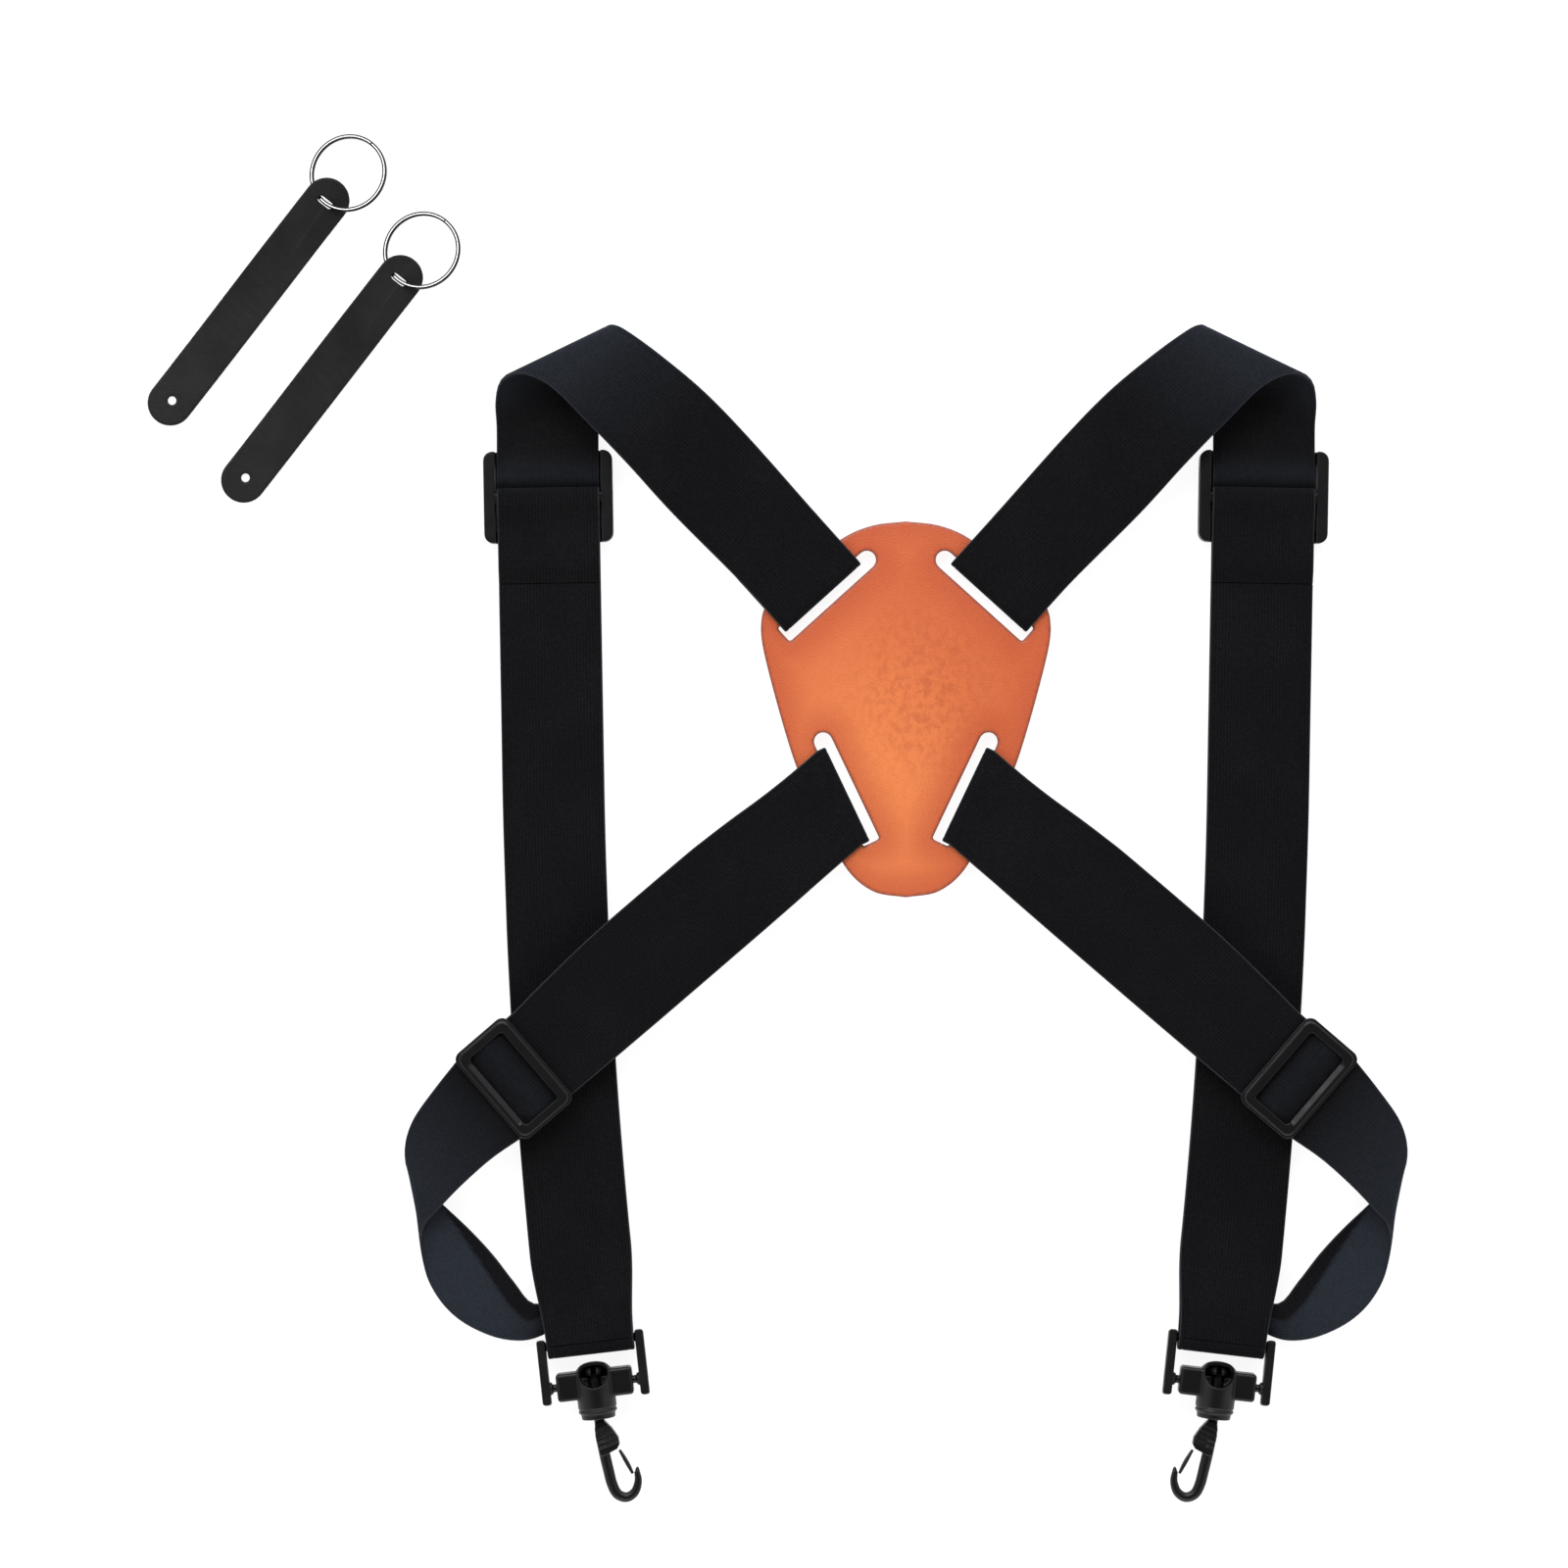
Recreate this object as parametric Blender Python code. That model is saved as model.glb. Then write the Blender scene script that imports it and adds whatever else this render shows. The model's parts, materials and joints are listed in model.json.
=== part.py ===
"""A saxophone harness laid flat: leather yoke, webbing, slides and swivel hooks, with two leather tabs on split rings.

Lengths are in millimetres until a mesh is made. X runs to the right, Y towards the shoulders and Z up from the
surface. The harness is alike on both sides, so each of its pieces is drawn once, for the side where outward is +X,
and made twice.
"""

import math

import bmesh
import bpy
from mathutils import Matrix, Vector

MM = 0.001
GAP = 0.3  # between pieces that touch
UP = Vector((0, 0, 1))

# Webbing. A ply's level is the height of its middle.
WEB_WIDTH = 38.0
WEB_THICK = 1.3
PLY = WEB_THICK + GAP
UNDER_YOKE, ON_YOKE = 1.0, 6.1
FRONT_LEVEL = 2.8
RETURN_LEVEL = FRONT_LEVEL + PLY
SIDE_LEVEL = 11.0

# Yoke
YOKE_BOTTOM, YOKE_THICK = 1.95, 3.2
YOKE_HALF = [(0, 110.8), (12.5, 109.2), (24, 104.2), (39.5, 92), (50.5, 82), (54, 72), (51.5, 56),
             (41.4, 21), (32, 1.5), (22.8, -17.7), (12.5, -27), (0, -29.4)]  # fmt: skip
SLOT_WIDTH = 6.8
SLOT_SHORT, SLOT_LONG = 20.2, 21.6  # from the strap's middle to the square end, and to the round end's centre
LOOP_RADIUS = (ON_YOKE - UNDER_YOKE) / 2

# Where each strap turns round the slot's outer wall, and the way it leaves the yoke
SHOULDER_ROOT, SHOULDER_ANGLE = Vector((32.8, 84.5, 0)), 47.9
SIDE_ROOT, SIDE_ANGLE = Vector((24.6, 7.8, 0)), -40.7
SIDE_SLOT_ANGLE = 64.5

# Front strap: straight from the shoulder, then an arc down to the hook frame
FRONT_TOP = Vector((133.5, 137.0, 0))
FRONT_LEAN = math.tan(math.radians(1.0))
FRONT_BEND_Y = 10.0
FRONT_BEND = 2.424e-4
NARROW_FROM, LIFT_FROM = -160.0, -150.0

# Slides
UPPER_SLIDER_Y = 119.9
UPPER_SLIDER_HALF, UPPER_RAIL, UPPER_END_BAR = (24.0, 17.1), 4.3, 4.5
UPPER_SLIDER_TOP, END_BAR_TOP = 6.85, 1.85
SIDE_SLIDER_AT = 159.7  # from the side strap's root
SIDE_SLIDER_HALF, SIDE_WINDOW_HALF = (20.6, 12.6), (16.2, 7.9)
SIDE_SLIDER_TOP = 2.9  # over the strap's middle
SIDE_WEB_WIDTH = 37.4

# Hook unit, in the frame's own axes: x along the crossbar, y up the strap
CROSSBAR_Y, CROSSBAR_LEVEL, CROSSBAR_RADIUS = -194.9, 5.3, 1.5
PIN_DROP, PIN_LEVEL, PIN_RADIUS = 15.5, 7.6, 1.5
FRAME_INSIDE, ARM_WIDTH, ARM_THICK = 33.4, 3.3, 5.0
ARM_TOP, ARM_FOOT = 2.6, 6.1  # over the crossbar, and below the pins
INNER_BIGHT, OUTER_BIGHT = 2.4, 3.95  # radii of the two webbing turns round the crossbar
BIGHT_WIDTH = 32.4
HOOK_BEND = 11.0

# Tabs and rings
TAB_WIDTH, TAB_THICK, TAB_PITCH, TAB_END = 17.0, 1.4, 93.2, 9.6
TAB_ROLL, RING_TILT = 14.0, 14.0
TAB_LIFT = 4.3
RING_RADIUS, RING_BAND, RING_WIRE = 14.0, 1.5, 0.62
TABS = {"1": (Vector((-273.8, 156.0, 0)), 52.0), "2": (Vector((-246.4, 127.2, 0)), 52.0)}

COLOURS = {
    "webbing": ((0.012, 0.012, 0.014), 0.85, 0.0),
    "yoke_leather": ((0.72, 0.19, 0.07), 0.5, 0.0),
    "hardware": ((0.02, 0.02, 0.022), 0.45, 0.0),
    "tab_leather": ((0.03, 0.03, 0.031), 0.6, 0.0),
    "ring_steel": ((0.6, 0.6, 0.62), 0.25, 1.0),
}
made = []


# ---- helpers -----------------------------------------------------------------------------------------------------


def clear_scene():
    for found in list(bpy.data.objects):
        bpy.data.objects.remove(found, do_unlink=True)


def material(name):
    if name in bpy.data.materials:
        return bpy.data.materials[name]
    colour, roughness, metallic = COLOURS[name]
    made_material = bpy.data.materials.new(name)
    made_material.use_nodes = True
    shader = made_material.node_tree.nodes["Principled BSDF"]
    shader.inputs["Base Color"].default_value = (*colour, 1)
    shader.inputs["Roughness"].default_value = roughness
    shader.inputs["Metallic"].default_value = metallic
    return made_material


def finish(name, shape, finish_name, pivot=(0, 0, 0), mirrored=False):
    """Make the object from a drawn shape, with its origin at the pivot."""
    pivot = Vector(pivot)
    if mirrored:
        bmesh.ops.scale(shape, vec=(-1, 1, 1), verts=shape.verts)
        pivot.x = -pivot.x
    bmesh.ops.translate(shape, vec=-pivot, verts=shape.verts)
    bmesh.ops.scale(shape, vec=(MM, MM, MM), verts=shape.verts)
    bmesh.ops.recalc_face_normals(shape, faces=shape.faces)
    mesh = bpy.data.meshes.new(name)
    shape.to_mesh(mesh)
    shape.free()
    mesh.shade_smooth()
    mesh.set_sharp_from_angle(angle=math.radians(40))
    mesh.materials.append(material(finish_name))
    piece = bpy.data.objects.new(name, mesh)
    piece.location = pivot * MM
    bpy.context.collection.objects.link(piece)
    made.append(piece)
    return piece


def for_both_sides(draw):
    """Draw a piece for the right side and again, mirrored, for the left."""
    for side, mirrored in (("right", False), ("left", True)):
        name, shape, finish_name, pivot = draw()
        finish(f"{side}_{name}", shape, finish_name, pivot, mirrored)


def box(low, high, place=None, bevel=0.0):
    shape = bmesh.new()
    low, high = Vector(low), Vector(high)
    size = high - low
    bmesh.ops.create_cube(shape, size=1)
    bmesh.ops.scale(shape, vec=size, verts=shape.verts)
    bmesh.ops.translate(shape, vec=(low + high) / 2, verts=shape.verts)
    if bevel:
        bmesh.ops.bevel(shape, geom=shape.edges, offset=bevel, segments=2, profile=0.5, affect="EDGES")
    return moved(shape, place)


def plate(outline, bottom, top, place=None, bevel=0.0):
    """Extrude a closed outline from one height to another."""
    shape = bmesh.new()
    face = shape.faces.new([shape.verts.new((x, y, bottom)) for x, y in outline])
    raised = bmesh.ops.extrude_face_region(shape, geom=[face])["geom"]
    bmesh.ops.translate(shape, vec=(0, 0, top - bottom), verts=[g for g in raised if isinstance(g, bmesh.types.BMVert)])
    bmesh.ops.recalc_face_normals(shape, faces=shape.faces)
    if bevel:
        rims = [e for e in shape.edges if abs(e.verts[0].co.z - e.verts[1].co.z) < 1e-6]
        bmesh.ops.bevel(shape, geom=rims, offset=bevel, segments=2, profile=0.5, affect="EDGES")
    return moved(shape, place)


def rounded_outline(half_x, half_y, radius, steps=4):
    """A rectangle about the origin with round corners."""
    points = []
    for sx, sy, start in ((1, 1, 0), (-1, 1, 90), (-1, -1, 180), (1, -1, 270)):
        for i in range(steps + 1):
            angle = math.radians(start + 90 * i / steps)
            points.append((sx * (half_x - radius) + radius * math.cos(angle),
                           sy * (half_y - radius) + radius * math.sin(angle)))  # fmt: skip
    return points


def turned(profile, place=None, segments=20):
    """Revolve (radius, y) pairs about the Y axis. The profile starts and ends on the axis."""
    shape = bmesh.new()
    rings = []
    for radius, y in profile[1:-1]:
        angles = [2 * math.pi * i / segments for i in range(segments)]
        rings.append([shape.verts.new((radius * math.cos(a), y, radius * math.sin(a))) for a in angles])
    for ring, following in zip(rings, rings[1:]):
        for i in range(segments):
            j = (i + 1) % segments
            shape.faces.new((ring[i], ring[j], following[j], following[i]))
    for (_, y), ring in ((profile[0], rings[0]), (profile[-1], rings[-1])):
        tip = shape.verts.new((0, y, 0))
        for i in range(segments):
            shape.faces.new((ring[i], ring[(i + 1) % segments], tip))
    bmesh.ops.recalc_face_normals(shape, faces=shape.faces)
    return moved(shape, place)


def rod(radius, start, end, place=None, segments=12):
    """A round bar along X, from start to end."""
    shape = turned([(0, start), (radius, start), (radius, end), (0, end)], None, segments)
    bmesh.ops.rotate(shape, cent=(0, 0, 0), matrix=Matrix.Rotation(math.radians(-90), 3, "Z"), verts=shape.verts)
    return moved(shape, place)


def tube(points, radii, segments=8):
    """A closed tube through points in the XY plane."""
    shape = bmesh.new()
    rings = []
    for i, (point, radius) in enumerate(zip(points, radii)):
        ahead = points[min(i + 1, len(points) - 1)] - points[max(i - 1, 0)]
        side = ahead.cross(UP).normalized()
        ring = []
        for k in range(segments):
            angle = 2 * math.pi * (k + 0.5) / segments
            offset = side * radius * math.cos(angle) + UP * radius * math.sin(angle)
            ring.append(shape.verts.new(point + offset))
        rings.append(ring)
    for ring, following in zip(rings, rings[1:]):
        for k in range(segments):
            j = (k + 1) % segments
            shape.faces.new((ring[k], ring[j], following[j], following[k]))
    shape.faces.new(rings[0])
    shape.faces.new(rings[-1])
    bmesh.ops.recalc_face_normals(shape, faces=shape.faces)
    return shape


def moved(shape, place):
    if place is not None:
        bmesh.ops.transform(shape, matrix=place, verts=shape.verts)
    return shape


def combined(base, operation, others):
    """The base with the other shapes joined to it or cut from it."""
    bmesh.ops.recalc_face_normals(base, faces=base.faces)
    target = temporary(base)
    helpers = []
    for other in others:
        bmesh.ops.recalc_face_normals(other, faces=other.faces)
        helper = temporary(other)
        helpers.append(helper)
        modifier = target.modifiers.new("join" if operation == "UNION" else "cut", "BOOLEAN")
        modifier.operation = operation
        modifier.object = helper
    bpy.context.view_layer.update()
    result = bmesh.new()
    result.from_mesh(target.evaluated_get(bpy.context.evaluated_depsgraph_get()).data)
    for used in [target, *helpers]:
        bpy.data.objects.remove(used, do_unlink=True)
    return result


def temporary(shape):
    mesh = bpy.data.meshes.new("helper")
    shape.to_mesh(mesh)
    shape.free()
    helper = bpy.data.objects.new("helper", mesh)
    bpy.context.collection.objects.link(helper)
    return helper


def curve_through(values, steps):
    """Points of a Catmull-Rom curve through the given vectors, with so many steps from each to the next."""
    ends = [2 * values[0] - values[1], *values, 2 * values[-1] - values[-2]]
    points = []
    for a, b, c, d in zip(ends, ends[1:], ends[2:], ends[3:]):
        for i in range(steps):
            t = i / steps
            points.append(0.5 * (2 * b + (c - a) * t + (2 * a - 5 * b + 4 * c - d) * t**2
                                 + (3 * b - a - 3 * c + d) * t**3))  # fmt: skip
    return [*points, values[-1].copy()]


def smoothed(stations, steps):
    """Stations of a strip, each a middle and an outward half width, with more between them."""
    middles = curve_through([s[0] for s in stations], steps)
    halves = curve_through([s[1] for s in stations], steps)
    return list(zip(middles, halves))


def ribbon(stations, thickness=WEB_THICK):
    """A closed strip of even thickness through its stations."""
    shape = bmesh.new()
    last = len(stations) - 1
    rings = []
    for i, (middle, half) in enumerate(stations):
        along = stations[min(i + 1, last)][0] - stations[max(i - 1, 0)][0]
        lift = along.cross(half).normalized() * thickness / 2
        corners = (-half - lift, half - lift, half + lift, -half + lift)
        rings.append([shape.verts.new(middle + corner) for corner in corners])
    for ring, following in zip(rings, rings[1:]):
        for k in range(4):
            j = (k + 1) % 4
            shape.faces.new((ring[k], ring[j], following[j], following[k]))
    shape.faces.new(rings[0])
    shape.faces.new(rings[-1])
    return shape


def turn(middle, half, bulge, radius, steps=8, upwards=False):
    """Stations of a half turn round an edge, from top to bottom, or the other way."""
    stations = []
    for i in range(steps + 1):
        angle = math.pi * i / steps
        offset = UP * radius * math.cos(angle) + bulge * radius * math.sin(angle)
        stations.append((middle + offset, half.copy()))
    return stations[::-1] if upwards else stations


def ease(t):
    t = min(max(t, 0.0), 1.0)
    return t * t * (3 - 2 * t)


def heading(degrees):
    return Vector((math.cos(math.radians(degrees)), math.sin(math.radians(degrees)), 0))


def at_height(point, z):
    return Vector((point.x, point.y, z))


def edges(outer, inner, z, z_inner=None):
    """A station from the places of a strip's two edges."""
    a = Vector((*outer, z))
    b = Vector((*inner, z if z_inner is None else z_inner))
    return (a + b) / 2, (a - b) / 2


# ---- places that several pieces share ------------------------------------------------------------------------------

SHOULDER_WAY = heading(SHOULDER_ANGLE)
SHOULDER_OUT = heading(SHOULDER_ANGLE - 90) * (WEB_WIDTH / 2)
SIDE_WAY = heading(SIDE_ANGLE)
SIDE_UP = heading(SIDE_ANGLE + 90)
SIDE_HALF = SIDE_UP * (SIDE_WEB_WIDTH / 2)
SLOT_SIDE_WAY = heading(SIDE_SLOT_ANGLE)
# The side strap's ruling leans over to lie along its slot.
SIDE_SKEW = SLOT_SIDE_WAY * (SIDE_WEB_WIDTH / 2 / SLOT_SIDE_WAY.dot(SIDE_UP))
SIDE_SLOT_OUT = heading(SIDE_SLOT_ANGLE - 90)


def front_middle(y, level):
    x = FRONT_TOP.x + (y - FRONT_TOP.y) * FRONT_LEAN
    if y < FRONT_BEND_Y:
        x -= FRONT_BEND * (y - FRONT_BEND_Y) ** 2
    return Vector((x, y, level))


def front_way(y):
    """The way up the front strap at a height on it."""
    slope = FRONT_LEAN - 2 * FRONT_BEND * min(y - FRONT_BEND_Y, 0)
    return Vector((slope, 1, 0)).normalized()


def front_station(y, level):
    way = front_way(y)
    width = WEB_WIDTH - (WEB_WIDTH - BIGHT_WIDTH) * ease((NARROW_FROM - y) / (NARROW_FROM - CROSSBAR_Y))
    return front_middle(y, level), Vector((way.y, -way.x, 0)) * width / 2


def lifted(y, level, end_level):
    """A level that changes over the last stretch, down to the crossbar."""
    return level + (end_level - level) * ease((LIFT_FROM - y) / (LIFT_FROM - CROSSBAR_Y))


CROSSBAR = front_middle(CROSSBAR_Y, CROSSBAR_LEVEL)
HOOK_LEAN = -math.atan2(front_way(CROSSBAR_Y).x, front_way(CROSSBAR_Y).y)
FRAME_PITCH = -math.asin((PIN_LEVEL - CROSSBAR_LEVEL) / PIN_DROP)
LEANING = Matrix.Rotation(HOOK_LEAN, 4, "Z")
FRAME_PLACE = Matrix.Translation(CROSSBAR) @ LEANING @ Matrix.Rotation(FRAME_PITCH, 4, "X")
PIN_AXIS = FRAME_PLACE @ Vector((0, -PIN_DROP, 0))
BODY_PLACE = Matrix.Translation(PIN_AXIS) @ LEANING
NECK_Y = -13.7
HOOK_PLACE = BODY_PLACE @ Matrix.Translation((0, NECK_Y, 0)) @ Matrix.Rotation(math.radians(-HOOK_BEND), 4, "Z")

UPPER_SLIDER_PLACE = Matrix.Translation(front_middle(UPPER_SLIDER_Y, 0)) @ Matrix.Rotation(
    -math.atan(FRONT_LEAN), 4, "Z"
)
SIDE_SLIDER = at_height(SIDE_ROOT + SIDE_WAY * SIDE_SLIDER_AT, SIDE_LEVEL)
# x across the strap, y back towards the yoke
SIDE_SLIDER_PLACE = Matrix.Translation(SIDE_SLIDER) @ Matrix.Rotation(math.radians(SIDE_ANGLE + 90), 4, "Z")


def in_place(path, half_width, place):
    """Stations of a strip from (y, z) pairs in a slide's own axes."""
    half = place.to_3x3() @ Vector((half_width, 0, 0))
    return [(place @ Vector((0, y, z)), half.copy()) for y, z in path]


def half_circle(y, z, radius, steps=8):
    """(y, z) pairs of a half turn from over a bar to under it, bulging towards +y."""
    angles = [math.pi * i / steps for i in range(steps + 1)]
    return [(y + radius * math.sin(a), z + radius * math.cos(a)) for a in angles]


# ---- yoke ----------------------------------------------------------------------------------------------------------


def slot_cutter(root, out, along, mirrored):
    """A slot beside the strap's turn: square at its low end and round at the end towards the yoke's middle."""
    middle = root - out * SLOT_WIDTH / 2
    half = SLOT_WIDTH / 2
    points = [middle - along * SLOT_SHORT - out * half, middle - along * SLOT_SHORT + out * half]
    for i in range(9):
        angle = math.pi / 2 - math.pi * i / 8
        points.append(middle + along * (SLOT_LONG + half * math.cos(angle)) + out * half * math.sin(angle))
    sign = -1 if mirrored else 1
    return plate([(sign * p.x, p.y) for p in points], YOKE_BOTTOM - 5, YOKE_BOTTOM + YOKE_THICK + 5)


def make_yoke():
    half = curve_through([Vector((*p, 0)) for p in YOKE_HALF], 3)
    outline = [(p.x, p.y) for p in half] + [(-p.x, p.y) for p in reversed(half[1:-1])]
    leather = plate(outline, YOKE_BOTTOM, YOKE_BOTTOM + YOKE_THICK, bevel=0.7)
    cutters = []
    for mirrored in (False, True):
        cutters.append(slot_cutter(SHOULDER_ROOT, SHOULDER_WAY, heading(SHOULDER_ANGLE + 90), mirrored))
        cutters.append(slot_cutter(SIDE_ROOT, SIDE_SLOT_OUT, SLOT_SIDE_WAY, mirrored))
    finish("yoke", combined(leather, "DIFFERENCE", cutters), "yoke_leather")


# ---- webbing -------------------------------------------------------------------------------------------------------


def shoulder_strap():
    """From its sewn end under the yoke, over the shoulder fold and down to the turn round the crossbar."""
    under = [
        (at_height(SHOULDER_ROOT + SHOULDER_WAY * t + SHOULDER_OUT * 0.04 * ease((t - 25) / 20), z),
         SHOULDER_OUT * (1 - 0.07 * ease((t - 25) / 15)))
        for t, z in ((46, 7.7), (42, 7.2), (34, 4.8), (25, 1.4), (18, UNDER_YOKE), (6, UNDER_YOKE))
    ]
    slot = turn(at_height(SHOULDER_ROOT, (ON_YOKE + UNDER_YOKE) / 2), SHOULDER_OUT, -SHOULDER_WAY, LOOP_RADIUS,
                upwards=True)  # fmt: skip
    over = [
        slot[-1],
        (at_height(SHOULDER_ROOT + SHOULDER_WAY * 22, 7.4), SHOULDER_OUT),
        edges((86.6, 113.1), (57.9, 141.0), 10.7),
        edges((103.5, 131.6), (74.9, 158.4), 13.2),
        edges((119.0, 147.6), (90.8, 171.6), 15.5),
        edges((132.0, 160.2), (102.4, 180.0), 16.8),
        edges((143.5, 165.2), (107.6, 182.8), 14.7),
        edges((150.6, 162.6), (110.8, 182.2), 9.8),
        edges((152.9, 155.5), (113.2, 176.5), 4.9),
        edges((152.6, 146.5), (114.4, 164.5), 2.9),
        front_station(137, FRONT_LEVEL),
    ]
    front = [front_station(y, FRONT_LEVEL) for y in (100, 50, 10, -20)]
    low = CROSSBAR_LEVEL - OUTER_BIGHT
    for y in (-50, -75, -100, -120, -140, -150, -160, -168, -176, -184, -190):
        front.append(front_station(y, lifted(y, FRONT_LEVEL, low)))
    end_half = front_station(CROSSBAR_Y, 0)[1]
    bight = turn(CROSSBAR, end_half, -front_way(CROSSBAR_Y), OUTER_BIGHT, upwards=True)
    stations = smoothed(under, 3) + slot[:-1] + smoothed(over, 4) + front + bight
    return "shoulder_strap", ribbon(stations), "webbing", (0, 0, 0)


def front_return_ply():
    """The same webbing coming back up, from the top of the turn to the slide's sewn end."""
    high = CROSSBAR_LEVEL + OUTER_BIGHT
    stations = []
    for y in (CROSSBAR_Y + 0.4, -190, -184, -176, -168, -160, -150, -140, -120, -100, -75, -50, -20, 10, 50):
        stations.append(front_station(y, lifted(y, RETURN_LEVEL, high)))
    end = UPPER_SLIDER_Y - 32.4
    stations.append(front_station(end, RETURN_LEVEL))
    return "front_return_ply", ribbon(stations), "webbing", (0, 0, 0)


def upper_slider_sewn_end():
    """Over the middle bar, round it and back under, sewn to itself."""
    tail, top = RETURN_LEVEL, 7.8
    path = [(-32, tail), (-30, tail + 0.4), (-27.5, tail + 1.4), (-25.5, tail + PLY), (-9, tail + PLY), (-6, 6.6)]
    path += [(-3.5, 7.55), (-1.5, top)] + half_circle(1.0, (top + tail) / 2, (top - tail) / 2)
    path += [(-8, tail), (-24, tail)]
    stations = in_place(path, WEB_WIDTH / 2, UPPER_SLIDER_PLACE)
    return "upper_slider_sewn_end", ribbon(stations), "webbing", front_middle(UPPER_SLIDER_Y, 0)


def side_strap():
    """Up through the yoke's lower slot, down through the slide, round under the arm and round the crossbar."""
    root = at_height(SIDE_ROOT, (ON_YOKE + UNDER_YOKE) / 2)
    slot = turn(root, SIDE_SKEW, -SIDE_SLOT_OUT, LOOP_RADIUS, upwards=True)
    start = [(at_height(SIDE_ROOT + SIDE_WAY * t, UNDER_YOKE), SIDE_SKEW) for t in (7, 3)]
    over = [slot[-1]]
    for t, z, skew in ((12, 6.5, 0.75), (24, 7.9, 0.4), (36, 9.6, 0.1), (46, 10.7, 0.0), (56, SIDE_LEVEL, 0.0)):
        over.append((at_height(SIDE_ROOT + SIDE_WAY * t, z), SIDE_HALF.lerp(SIDE_SKEW, skew)))
    straight = [(at_height(SIDE_ROOT + SIDE_WAY * t, SIDE_LEVEL), SIDE_HALF) for t in (100, 150, 174)]
    arm_loop = [
        straight[-1],
        edges((175.2, -100.8), (154.3, -126.5), 11.0),
        edges((182.2, -111.5), (165.8, -136.8), 10.6),
        edges((185.0, -120.0), (174.4, -145.8), 9.0),
        edges((185.0, -127.5), (179.2, -151.0), 6.6),
        edges((182.8, -133.5), (180.8, -156.5), 4.4),
        edges((178.6, -138.5), (180.4, -163.2), 3.2),
        edges((171.8, -144.5), (177.9, -172.8), 2.6, 1.6),
        edges((162.8, -152.6), (172.0, -182.0), 4.0, 1.4),
        edges((153.8, -162.0), (163.8, -188.8), 5.4, 1.6),
        edges((145.8, -172.2), (152.6, -193.6), 6.0, 2.4),
        edges((138.4, -180.4), (142.6, -194.6), 5.4, 3.4),
        edges((126.4, -177.6), (135.3, -192.5), 4.6, 3.8),
        edges((110.4, -176.9), (133.3, -190.2), 3.9, 3.7),
        edges((103.3, -183.4), (132.8, -188.9), 3.3, 3.3),
    ]
    # Round the crossbar the strip's sides have changed places, so its half width points inward.
    half = -front_station(CROSSBAR_Y, 0)[1] * 0.94
    bight = turn(CROSSBAR, half, -front_way(CROSSBAR_Y), INNER_BIGHT, upwards=True)
    way = front_way(CROSSBAR_Y)
    tail = [(CROSSBAR + way * t + UP * z, half) for t, z in ((4, 2.1), (8, 1.4), (12, 0.7))]
    stations = start + slot[:-1] + smoothed(over, 2) + straight[:-1] + smoothed(arm_loop, 3) + bight + tail
    return "side_strap", ribbon(stations), "webbing", (0, 0, 0)


def side_return_ply():
    """The same webbing under it, from the slot out to the slide's sewn end."""
    sewn_at = SIDE_SLIDER_AT - 30.4
    path = [(7.4, UNDER_YOKE, 1.0), (14, UNDER_YOKE, 0.8), (20, 1.1, 0.6), (27, 3.4, 0.4), (34, 6.2, 0.2)]
    path += [(41, 8.3, 0.0), (48, SIDE_LEVEL - PLY - 0.2, 0.0), (58, SIDE_LEVEL - PLY, 0.0)]
    path += [(90, SIDE_LEVEL - PLY, 0.0), (sewn_at, SIDE_LEVEL - PLY, 0.0)]
    stations = []
    for t, z, skew in path:
        stations.append((at_height(SIDE_ROOT + SIDE_WAY * t, z), SIDE_HALF.lerp(SIDE_SKEW, skew)))
    return "side_return_ply", ribbon(stations), "webbing", (0, 0, 0)


def lower_slider_sewn_end():
    """Round the middle bar under the strap. It is drawn along -y, because it comes from the yoke."""
    top, tail = -PLY, -PLY - 3.4
    path = [(30, top), (14, top)] + [(-y, z) for y, z in half_circle(1.0, (top + tail) / 2, (top - tail) / 2)]
    path += [(5, tail), (8, tail + 0.5), (11, tail + 1.7), (24, top - PLY)]
    stations = in_place(path, SIDE_WEB_WIDTH / 2, SIDE_SLIDER_PLACE)
    return "lower_slider_sewn_end", ribbon(stations), "webbing", SIDE_SLIDER


# ---- slides --------------------------------------------------------------------------------------------------------


def upper_slider():
    """End bars under the strap, and the middle bar over it, inside the sewn end."""
    half_x, half_y = UPPER_SLIDER_HALF
    inside, window_half = half_x - UPPER_RAIL, half_y - UPPER_END_BAR
    body = plate(rounded_outline(half_x, half_y, 3.0), 0, UPPER_SLIDER_TOP, bevel=0.6)
    channel = box((-inside, -30, END_BAR_TOP), (inside, 30, 20))
    window = box((-inside, -window_half, -5), (inside, window_half, 20))
    body = combined(body, "DIFFERENCE", [channel, window])
    bar = box((-inside - 1, -2.2, UPPER_SLIDER_TOP - 1.5), (inside + 1, 1.3, UPPER_SLIDER_TOP))
    body = combined(body, "UNION", [bar])
    return "upper_slider", moved(body, UPPER_SLIDER_PLACE), "hardware", front_middle(UPPER_SLIDER_Y, 0)


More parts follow.
